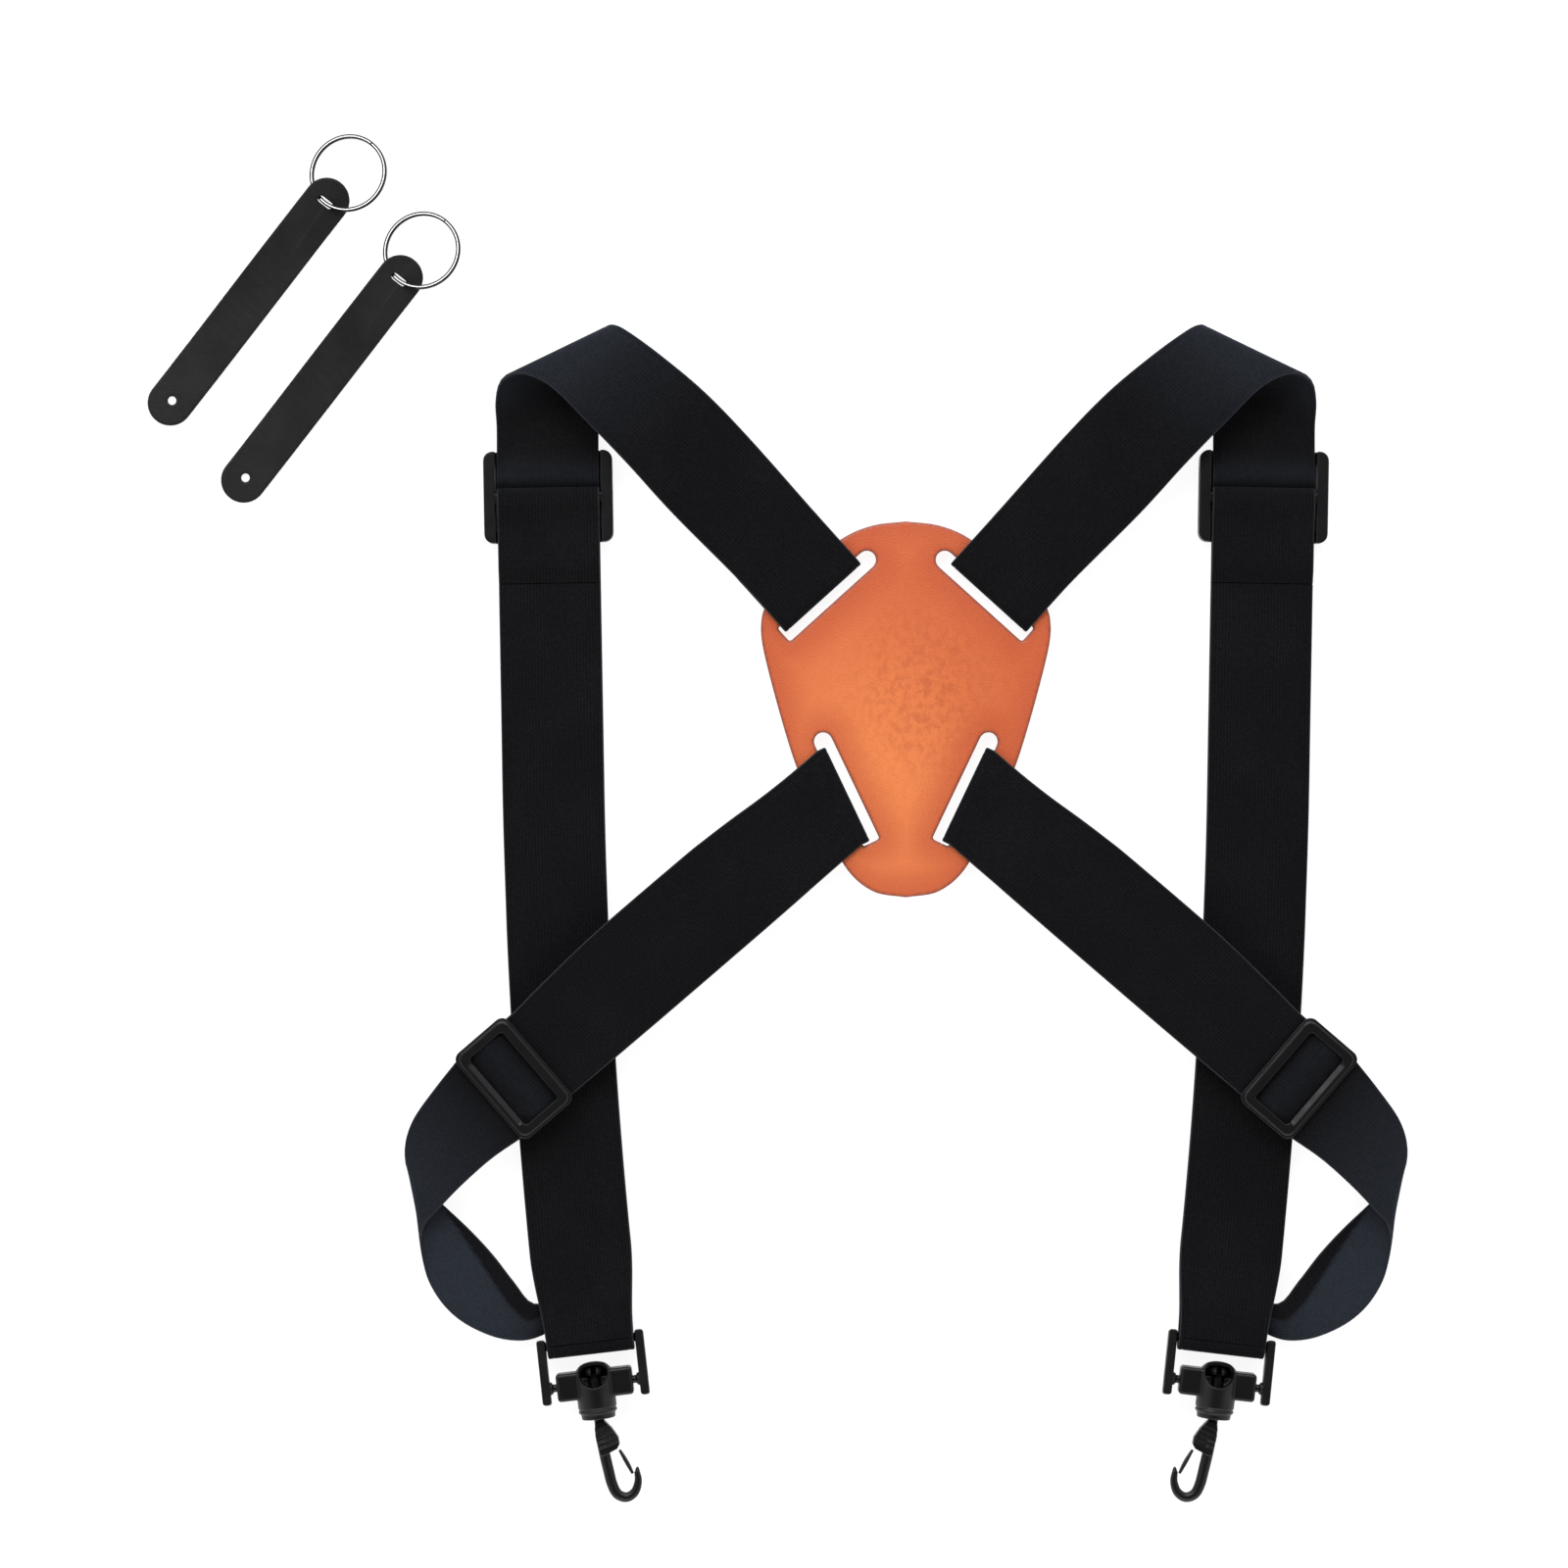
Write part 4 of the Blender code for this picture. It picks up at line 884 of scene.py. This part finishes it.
# %% Solids
def box(low, high, place=None, bevel=0.0, segments=3):
    shape = bmesh.new()
    low, high = Vector(low), Vector(high)
    bmesh.ops.create_cube(shape, size=1)
    bmesh.ops.scale(shape, vec=high - low, verts=shape.verts)
    bmesh.ops.translate(shape, vec=(low + high) / 2, verts=shape.verts)
    if bevel:
        bmesh.ops.bevel(shape, geom=shape.edges, offset=bevel, segments=segments, profile=0.5, affect="EDGES")
    return moved(shape, place)


def moved(shape, place):
    if place is not None:
        bmesh.ops.transform(shape, matrix=place, verts=shape.verts)
    return shape


def plate(outline, bottom, top, place=None):
    shape = bmesh.new()
    face = shape.faces.new([shape.verts.new((x, y, bottom)) for x, y in outline])
    raised = bmesh.ops.extrude_face_region(shape, geom=[face])["geom"]
    raised = [item for item in raised if isinstance(item, bmesh.types.BMVert)]
    bmesh.ops.translate(shape, vec=(0, 0, top - bottom), verts=raised)
    return moved(shape, place)


def rounded_outline(half_x, half_y, radius, steps=8):
    points = []
    for sx, sy, start in ((1, 1, 0), (-1, 1, 90), (-1, -1, 180), (1, -1, 270)):
        for i in range(steps + 1):
            angle = math.radians(start + 90 * i / steps)
            points.append((sx * (half_x - radius) + radius * math.cos(angle),
                           sy * (half_y - radius) + radius * math.sin(angle)))  # fmt: skip
    return points


def skin(shape, rings, capped=True):
    """Join rings of vertices into a tube."""
    for ring, following in zip(rings, rings[1:]):
        for k in range(len(ring)):
            j = (k + 1) % len(ring)
            shape.faces.new((ring[k], ring[j], following[j], following[k]))
    for ring in (rings[0], rings[-1]) if capped else ():
        shape.faces.new(ring)


def turned(profile, place=None, segments=48):
    """Revolve (radius, y) pairs about the Y axis. The profile starts and ends on the axis."""
    shape = bmesh.new()
    rings = []
    for radius, y in profile[1:-1]:
        angles = [2 * math.pi * i / segments for i in range(segments)]
        rings.append([shape.verts.new((radius * math.cos(a), y, radius * math.sin(a))) for a in angles])
    skin(shape, rings, capped=False)
    for (_, y), ring in ((profile[0], rings[0]), (profile[-1], rings[-1])):
        tip = shape.verts.new((0, y, 0))
        for i in range(segments):
            shape.faces.new((ring[i], ring[(i + 1) % segments], tip))
    return moved(shape, place)


def rod(radius, start, end, place=None):
    """A round bar along X."""
    lying = Matrix.Rotation(math.radians(-90), 4, "Z")
    return moved(moved(turned([(0, start), (radius, start), (radius, end), (0, end)], None, 32), lying), place)


def tube(points, radii, segments=20, flat=1.0):
    """A closed tube through points in the XY plane."""
    shape = bmesh.new()
    rings = []
    for i, (point, radius) in enumerate(zip(points, radii)):
        ahead = points[min(i + 1, len(points) - 1)] - points[max(i - 1, 0)]
        side = ahead.cross(UP).normalized()
        angles = [2 * math.pi * (k + 0.5) / segments for k in range(segments)]
        spokes = [side * math.cos(a) + UP * flat * math.sin(a) for a in angles]
        rings.append([shape.verts.new(point + radius * spoke) for spoke in spokes])
    skin(shape, rings)
    return shape


def curve_through(values, steps):
    ends = [2 * values[0] - values[1], *values, 2 * values[-1] - values[-2]]
    points = []
    for a, b, c, d in zip(ends, ends[1:], ends[2:], ends[3:]):
        points += [catmull(a, b, c, d, i / steps) for i in range(steps)]
    return [*points, values[-1].copy()]


def temporary(shape):
    bmesh.ops.recalc_face_normals(shape, faces=shape.faces)
    mesh = bpy.data.meshes.new("helper")
    shape.to_mesh(mesh)
    shape.free()
    helper = bpy.data.objects.new("helper", mesh)
    bpy.context.collection.objects.link(helper)
    return helper


def evaluated(target):
    """The shape that an object's modifiers give, and the object is removed."""
    bpy.context.view_layer.update()
    result = bmesh.new()
    result.from_mesh(target.evaluated_get(bpy.context.evaluated_depsgraph_get()).data)
    bpy.data.objects.remove(target, do_unlink=True)
    return result


def combined(base, operation, others):
    """The base with the other shapes joined to it or cut from it."""
    target = temporary(base)
    helpers = [temporary(other) for other in others]
    for helper in helpers:
        modifier = target.modifiers.new(operation.lower(), "BOOLEAN")
        modifier.operation = operation
        modifier.object = helper
    result = evaluated(target)
    for helper in helpers:
        bpy.data.objects.remove(helper, do_unlink=True)
    return result


def softened(shape, voxel, rounds=4):
    """The shape on a voxel grid, with its edges relaxed."""
    target = temporary(shape)
    remesh = target.modifiers.new("voxels", "REMESH")
    remesh.mode = "VOXEL"
    remesh.voxel_size = voxel
    smooth = target.modifiers.new("relax", "SMOOTH")
    smooth.factor = 0.5
    smooth.iterations = rounds
    return evaluated(target)


def mark_rims(shape, **reaches):
    """Paint how near each point of a flat plate lies to a cut edge, 1 at the edge and 0 at the given reach."""
    walls = [v.co for v in shape.verts if abs(v.normal.z) < 0.6]
    tree = kdtree.KDTree(len(walls))
    for i, place in enumerate(walls):
        tree.insert(place, i)
    tree.balance()
    for name, reach in reaches.items():
        layer = shape.verts.layers.float.new(name)
        for vertex in shape.verts:
            vertex[layer] = 1 - ease(tree.find(vertex.co)[2] / reach)
    return shape


# %% [markdown]
# The yoke's outline is a smooth curve through one half of it, mirrored. Each slot is square at its low end and
# round at the end towards the yoke's middle, where the leather would tear first. The plate's face ripples a little
# all over.

# %% Yoke
YOKE_BOTTOM, YOKE_THICK, YOKE_VOXEL = 1.95, 3.2, 0.6
SLOT_WIDTH, SLOT_SHORT, SLOT_LONG = 6.8, 20.2, 21.6
YOKE_HALF = [(0, 110.8), (12.5, 109.2), (24, 104.2), (39.5, 92), (50.5, 82), (54, 72), (51.5, 56),
             (41.4, 21), (32, 1.5), (22.8, -17.7), (12.5, -27), (0, -29.4)]  # fmt: skip


def slot_cutter(root, out, along, mirrored):
    middle = root - out * SLOT_WIDTH / 2
    half = SLOT_WIDTH / 2
    points = [middle - along * SLOT_SHORT - out * half, middle - along * SLOT_SHORT + out * half]
    for i in range(17):
        angle = math.pi / 2 - math.pi * i / 16
        points.append(middle + along * (SLOT_LONG + half * math.cos(angle)) + out * half * math.sin(angle))
    sign = -1 if mirrored else 1
    return plate([(sign * p.x, p.y) for p in points], YOKE_BOTTOM - 5, YOKE_BOTTOM + YOKE_THICK + 5)


def yoke_shape():
    half = curve_through([Vector((*p, 0)) for p in YOKE_HALF], 8)
    outline = [(p.x, p.y) for p in half] + [(-p.x, p.y) for p in reversed(half[1:-1])]
    cutters = []
    for mirrored in (False, True):
        cutters.append(slot_cutter(SHOULDER_ROOT, SHOULDER_WAY, heading(SHOULDER_HEADING + 90), mirrored))
        cutters.append(slot_cutter(SIDE_ROOT, SIDE_SLOT_OUT, SLOT_SIDE_WAY, mirrored))
    leather = combined(plate(outline, YOKE_BOTTOM, YOKE_BOTTOM + YOKE_THICK), "DIFFERENCE", cutters)
    leather = mark_rims(softened(leather, YOKE_VOXEL, 5), rim=1.5, border=15.0)
    for vertex in leather.verts:
        vertex.co.z += 0.5 * ripple(Vector((vertex.co.x, vertex.co.y, 0)))
    return leather


yoke = put("back_yoke", yoke_shape(), False, yoke_leather)
stand_for(yoke, "yoke")
report("yoke")

# %% [markdown]
# Both slides are three-bar slides. The upper one lies under the strap with its end bars, and its middle bar is
# inside the sewn loop. The lower one shows all of its frame, on top of the strap, with a raised rim round the
# window. Its middle bar hangs on two short posts underneath.

# %% Slides
SLIDE_VOXEL = 0.32


def upper_slide_shape():
    half_x, half_y, rail, end_bar, top, bar_top = 24.0, 17.1, 4.3, 4.5, 6.85, 1.85
    inside, window_half = half_x - rail, half_y - end_bar
    body = plate(rounded_outline(half_x, half_y, 3.4), 0, top)
    window = (inside - 1.3, window_half)
    cuts = [box((-inside, -30, bar_top), (inside, 30, 20)), box((-window[0], -window[1], -5), (*window, 20))]
    for side in (-1, 1):
        # A finger groove runs along the outer side of each rail.
        cuts.append(box((side * (half_x + 0.4) - 0.7, -11, 2.4), (side * (half_x + 0.4) + 0.7, 11, 4.4)))
    body = combined(body, "DIFFERENCE", cuts)
    bar = box((-inside - 1, -2.2, top - 1.5), (inside + 1, 1.3, top), bevel=0.4)
    body = combined(body, "UNION", [bar])
    return moved(softened(body, SLIDE_VOXEL), UPPER_SLIDER_PLACE)


def lower_slide_shape():
    half_x, half_y, rim, bottom, top = 20.6, 12.6, 1.4, WEB_THICK / 2 + 0.3, 2.9
    ring = plate(rounded_outline(half_x, half_y, 3.4), bottom, top)
    window = plate(rounded_outline(16.2, 7.9, 1.2), bottom - 3, top + 3)
    # The rim stands up from a step that runs all round the outside.
    step = combined(plate(rounded_outline(22, 15, 4), top - 0.6, top + 2), "DIFFERENCE",
                    [plate(rounded_outline(half_x - rim, half_y - rim, 2.6), top - 2, top + 4)])  # fmt: skip
    # Towards the arm loop, the window's edge slopes down to the webbing.
    slope_place = Matrix.Translation((0, -9.9, top)) @ Matrix.Rotation(math.radians(-30), 4, "X")
    slope = box((-14.6, 0, 0), (14.6, 8, 4), slope_place)
    body = combined(ring, "DIFFERENCE", [window, step, slope])
    posts = [box((side * 19.85 - 0.75, -3.2, -4.05), (side * 19.85 + 0.75, 3.2, bottom + 0.6)) for side in (-1, 1)]
    bar = box((-19.6, -1.6, -4.05), (19.6, 1.9, -2.55), bevel=0.4)
    body = combined(body, "UNION", [*posts, bar])
    return moved(softened(body, SLIDE_VOXEL), SIDE_SLIDER_PLACE)


def mould(title, shapes):
    for side, mirrored in MIRRORED.items():
        for name, draw in shapes.items():
            piece = put(f"{side}_{name}_moulding", draw(), mirrored, hardware, sharp=60)
            stand_for(piece, f"{side}_{name}")
    report(title)


mould("slides", {"upper_slider": upper_slide_shape, "lower_slider": lower_slide_shape})

# %% [markdown]
# The hook unit has four pieces. The frame holds the straps on its crossbar and the swivel body on two pins. The
# body is a barrel with two arms, with a scoop at the back where the split head of the stem shows. The hook turns in
# it. Its shoulder has finger ribs, its tip a small nib, and a thin springy gate closes it.

# %% Hook unit
HOOK_VOXEL = 0.26
PIN_DROP, PIN_LEVEL, PIN_RADIUS = 15.5, 7.6, 1.5
FRAME_INSIDE, ARM_WIDTH, ARM_THICK = 33.4, 3.3, 5.0
ARM_TOP, ARM_FOOT = 2.6, 6.1
HOOK_BEND, NECK_Y = 11.0, -13.7
HOOK_LEAN = -math.atan2(front_way(CROSSBAR_Y).x, front_way(CROSSBAR_Y).y)
FRAME_PITCH = -math.asin((PIN_LEVEL - CROSSBAR_LEVEL) / PIN_DROP)
LEANING = Matrix.Rotation(HOOK_LEAN, 4, "Z")
FRAME_PLACE = Matrix.Translation(CROSSBAR) @ LEANING @ Matrix.Rotation(FRAME_PITCH, 4, "X")
BODY_PLACE = Matrix.Translation(FRAME_PLACE @ Vector((0, -PIN_DROP, 0))) @ LEANING
HOOK_PLACE = BODY_PLACE @ Matrix.Translation((0, NECK_Y, 0)) @ Matrix.Rotation(math.radians(-HOOK_BEND), 4, "Z")


def hook_frame_shape():
    inside = FRAME_INSIDE / 2
    parts = []
    for side in (-1, 1):
        x = side * (inside + ARM_WIDTH / 2)
        half_length = (PIN_DROP + ARM_FOOT + ARM_TOP) / 2
        arm = plate(rounded_outline(ARM_WIDTH / 2, half_length, 1.0), -ARM_THICK / 2, ARM_THICK / 2)
        parts.append(moved(arm, Matrix.Translation((x, ARM_TOP - half_length, 0))))
        ends = sorted((side * (inside + 0.8), side * (inside - 5.4)))
        parts.append(rod(PIN_RADIUS, *ends, place=Matrix.Translation((0, -PIN_DROP, 0))))
        # A collar where the pin leaves the arm.
        ends = sorted((side * (inside + 0.8), side * (inside - 0.9)))
        parts.append(rod(PIN_RADIUS + 0.8, *ends, place=Matrix.Translation((0, -PIN_DROP, 0))))
    body = combined(rod(1.5, -inside - 1, inside + 1), "UNION", parts)
    return moved(softened(body, HOOK_VOXEL, 3), FRAME_PLACE)


def swivel_body_shape():
    profile = [(0, 8.3), (1.8, 8.2), (3.4, 7.85), (4.6, 7.35), (5.6, 6.6), (6.4, 5.7), (6.9, 4.7), (7.2, 3.0),
               (7.2, -8.6), (6.85, -8.9), (6.85, -9.4), (7.2, -9.7), (7.2, -10.3), (6.4, -10.9), (6.2, -12.9),
               (0, -12.9)]  # fmt: skip
    arms = [box((-14.2, -5.2, -4.9), (14.2, 5.2, 3.6), bevel=1.2)]
    body = combined(turned(profile), "UNION", arms)
    cup = turned([(0, 2.4), (4.7, 2.4), (5.0, 4.6), (3.8, 6.2), (0, 6.9)])
    bore = turned([(0, 5), (2.25, 5), (2.25, -20), (0, -20)])
    scoop_place = Matrix.Translation((0, 4.3, 6.6)) @ Matrix.Rotation(math.radians(90), 4, "X")
    scoop = turned([(0, -6), (5.4, -6), (5.4, 6), (0, 6)], scoop_place)
    sockets = [rod(PIN_RADIUS + 0.28, *sorted((side * 20, side * 10.6))) for side in (-1, 1)]
    body = combined(body, "DIFFERENCE", [cup, bore, scoop, *sockets])
    return moved(softened(body, HOOK_VOXEL, 3), BODY_PLACE)


def snap_hook_shape():
    head = turned([(0, 6.0), (2.0, 6.0), (3.2, 4.8), (3.2, 3.4), (2.0, 2.7), (0, 2.7)])
    stem = turned([(0, 3.4), (1.85, 3.4), (1.85, NECK_Y - 2), (0, NECK_Y - 2)])
    stem = combined(combined(stem, "UNION", [head]), "DIFFERENCE", [box((-1.0, 3.0, -5), (1.0, 9, 5))])
    outline = [(1.7, -0.4), (2.6, -3.0), (3.2, -6.0), (3.3, -9.5), (3.5, -12.6), (0.4, -12.7), (-3.3, -12.0),
               (-4.7, -10.6), (-5.0, -8.0), (-3.8, -4.2), (-1.8, -0.4)]  # fmt: skip
    shoulder = plate(outline, -2.3, 2.3)
    ribs = []
    for i in range(4):
        for face in (-1, 1):
            turn_in = Matrix.Translation((0, -3.6 - 2.0 * i, face * 2.5)) @ Matrix.Rotation(math.radians(-6), 4, "Z")
            ribs.append(box((-5, -0.4, -0.75), (5, 0.4, 0.75), turn_in))
    shoulder = combined(shoulder, "DIFFERENCE", ribs)
    spine = [(1.3, -7), (1.9, -13), (2.3, -18.5), (2.6, -24), (1.8, -28.2), (-1.1, -30.4), (-4.6, -29.4),
             (-7.0, -26), (-7.7, -22.4)]  # fmt: skip
    points = curve_through([Vector((*p, 0)) for p in spine], 6)
    radii = [2.1 - 1.0 * (i / (len(points) - 1)) ** 3 for i in range(len(points))]
    nib = tube([Vector((-7.6, -23.4, 0)), Vector((-8.0, -21.8, 0)), Vector((-8.4, -20.8, 0))], [1.05, 0.85, 0.4])
    hook = combined(shoulder, "UNION", [tube(points, radii), nib])
    hook = combined(moved(stem, BODY_PLACE), "UNION", [moved(hook, HOOK_PLACE)])
    return softened(hook, HOOK_VOXEL, 3)


def gate_shape():
    """A strip a little bowed towards the eye, with round edges."""
    spots = [Vector((-3.9, -12.8, 0)), Vector((-4.7, -16.2, 0)), Vector((-5.4, -19.6, 0)), Vector((-5.9, -22.6, 0))]
    points = curve_through(spots, 6)
    radii = [0.5 + 0.3 * math.sin(math.pi * i / (len(points) - 1)) for i in range(len(points))]
    return moved(tube(points, radii, 16, 2.0), HOOK_PLACE)


mould("hook units", {
    "hook_frame": hook_frame_shape,
    "swivel_body": swivel_body_shape,
    "snap_hook": snap_hook_shape,
    "hook_gate": gate_shape,
})  # fmt: skip

# %% [markdown]
# ## Tabs and split rings
# A tab is a thin strip of leather with round ends. It lies flat at its foot and rises towards its ring, rolled over
# a little, and a faint crease runs down from the ring's hole. The ring is two turns of flat wire, which rise evenly
# from one to the next as they go round.

# %% Tabs and rings
TAB_WIDTH, TAB_THICK, TAB_PITCH, TAB_END = 17.0, 1.4, 93.2, 9.6
TAB_ROLL, RING_TILT, TAB_LIFT, TAB_VOXEL = 14.0, 14.0, 4.3, 0.36
CREASE_LONG, CREASE_DEEP = 26.0, 0.22
RING_RADIUS, RING_BAND, RING_WIRE, RING_GAP = 14.0, 1.5, 0.62, 0.14
# Outside the bright stripe the wire's edges carry a painted dark reflection.
RING_BRIGHT = 0.09  # half the bright stripe's width
TABS = {"1": (Vector((-273.8, 156.0, 0)), 52.0), "2": (Vector((-246.4, 127.2, 0)), 52.0)}


def tab_axes(foot, angle):
    way, right = heading(angle), heading(angle - 90)
    return way, right, foot + way * TAB_PITCH + UP * TAB_LIFT


def tab_shape(foot, angle):
    way, right, ring_hole = tab_axes(foot, angle)
    radius = TAB_WIDTH / 2
    low, high = -TAB_END, TAB_PITCH + TAB_END
    spots = [radius * (1 - math.cos(math.radians(a))) for a in range(6, 91, 7)]
    places = [low + s for s in spots] + list(range(4, 90, 4)) + [high - s for s in reversed(spots)]
    shape = bmesh.new()
    rings = []
    for t in places:
        near_end = min(t - low, high - t, radius)
        half = math.sqrt(radius**2 - (radius - near_end) ** 2)
        roll = math.radians(TAB_ROLL) * ease((t - 25) / (TAB_PITCH - 35))
        rise = TAB_THICK / 2 + (TAB_LIFT - TAB_THICK / 2) * ease((t - 5) / (TAB_PITCH - 8))
        across = right * math.cos(roll) - UP * math.sin(roll)
        lift = across.cross(way)
        middle = foot + way * t + UP * rise
        corners = ((-half, -1), (half, -1), (half, 1), (-half, 1))
        rings.append([shape.verts.new(middle + across * x + lift * z * TAB_THICK / 2) for x, z in corners])
    skin(shape, rings)
    small = turned([(0, -5), (1.6, -5), (1.6, 5), (0, 5)])
    moved(small, Matrix.Translation(foot) @ Matrix.Rotation(math.radians(90), 4, "X"))
    slot = plate(rounded_outline(3.2, 1.25, 1.2), -6, 6)
    moved(slot, Matrix.Translation(ring_hole + way * 0.2) @ Matrix.Rotation(math.radians(angle - 90), 4, "Z")
          @ Matrix.Rotation(math.radians(TAB_ROLL), 4, "Y"))  # fmt: skip
    leather = mark_rims(softened(combined(shape, "DIFFERENCE", [small, slot]), TAB_VOXEL, 3), rim=0.8)
    for vertex in leather.verts:
        offset = vertex.co - ring_hole
        back, aside = -offset.dot(way), offset.dot(right)
        if vertex.normal.z > 0.7 and 0 < back < CREASE_LONG:
            line = 0.06 * back
            vertex.co.z -= CREASE_DEEP * math.exp(-(((aside - line) / 0.6) ** 2)) * ease((CREASE_LONG - back) / 8)
    return leather


def ring_shape(foot, angle):
    way, right, hole = tab_axes(foot, angle)
    tilt = math.radians(RING_TILT)
    across = right * math.cos(tilt) + UP * math.sin(tilt)
    normal = across.cross(way).normalized()
    centre = hole + way * RING_RADIUS
    turns, steps, pitch = 2, 96, RING_WIRE + RING_GAP
    wire = rounded_outline(RING_BAND / 2, RING_WIRE / 2, 0.2, 3)
    quarter = len(wire) // 4
    stripe = (RING_BRIGHT + 0.1, RING_BRIGHT, -RING_BRIGHT, -RING_BRIGHT - 0.1)
    flats = [[(x * side, side * RING_WIRE / 2) for x in stripe] for side in (1, -1)]
    wire = wire[:quarter] + flats[0] + wire[quarter:3 * quarter] + flats[1] + wire[3 * quarter:]
    shape = bmesh.new()
    painted_dark_reflection_at = shape.verts.layers.float.new("painted_dark_reflection")
    sections = []
    for i in range(turns * steps + 1):
        angle_at = 2 * math.pi * i / steps
        spoke = way * math.cos(angle_at) + across * math.sin(angle_at)
        middle = centre + spoke * RING_RADIUS + normal * pitch * (i / steps - turns / 2)
        sections.append([])
        for x, z in wire:
            sections[-1].append(shape.verts.new(middle + spoke * x + normal * z))
            # Painted dark reflection on the wire's edges, outside the bright stripe.
            sections[-1][-1][painted_dark_reflection_at] = float(abs(x) > RING_BRIGHT)
    skin(shape, sections)
    bmesh.ops.recalc_face_normals(shape, faces=shape.faces)
    return shape


for number, (foot, angle) in TABS.items():
    tab = put(f"leather_tab_{number}", tab_shape(foot, angle), False, tab_leather)
    stand_for(tab, f"tab_{number}")
    ring = put(f"steel_ring_{number}", ring_shape(foot, angle), False, ring_steel)
    stand_for(ring, f"split_ring_{number}")
report("tabs and rings")

# %% [markdown]
# ## Motion
# The slides run along straight webbing, and the ply behind each one gets shorter as it comes. Here each such ply
# is only given a mesh of its own.

# %% Slack plies get meshes of their own
UPPER_TRAVEL, LOWER_TRAVEL = 125.0, 70.0


def shorten(piece, stations, mirrored):
    start, end = stations[0][0], stations[-1][0]
    way = (end - start).normalized()
    if mirrored:
        way.x = -way.x
    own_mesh(piece)


for side, mirrored in MIRRORED.items():
    for ply, slide, stations, travel in (("front", "upper", front_slack_stations(), UPPER_TRAVEL),
                                         ("side", "lower", side_slack_stations(), LOWER_TRAVEL)):  # fmt: skip
        shorten(slack[f"{side}_{ply}_slack_webbing"], stations, mirrored)
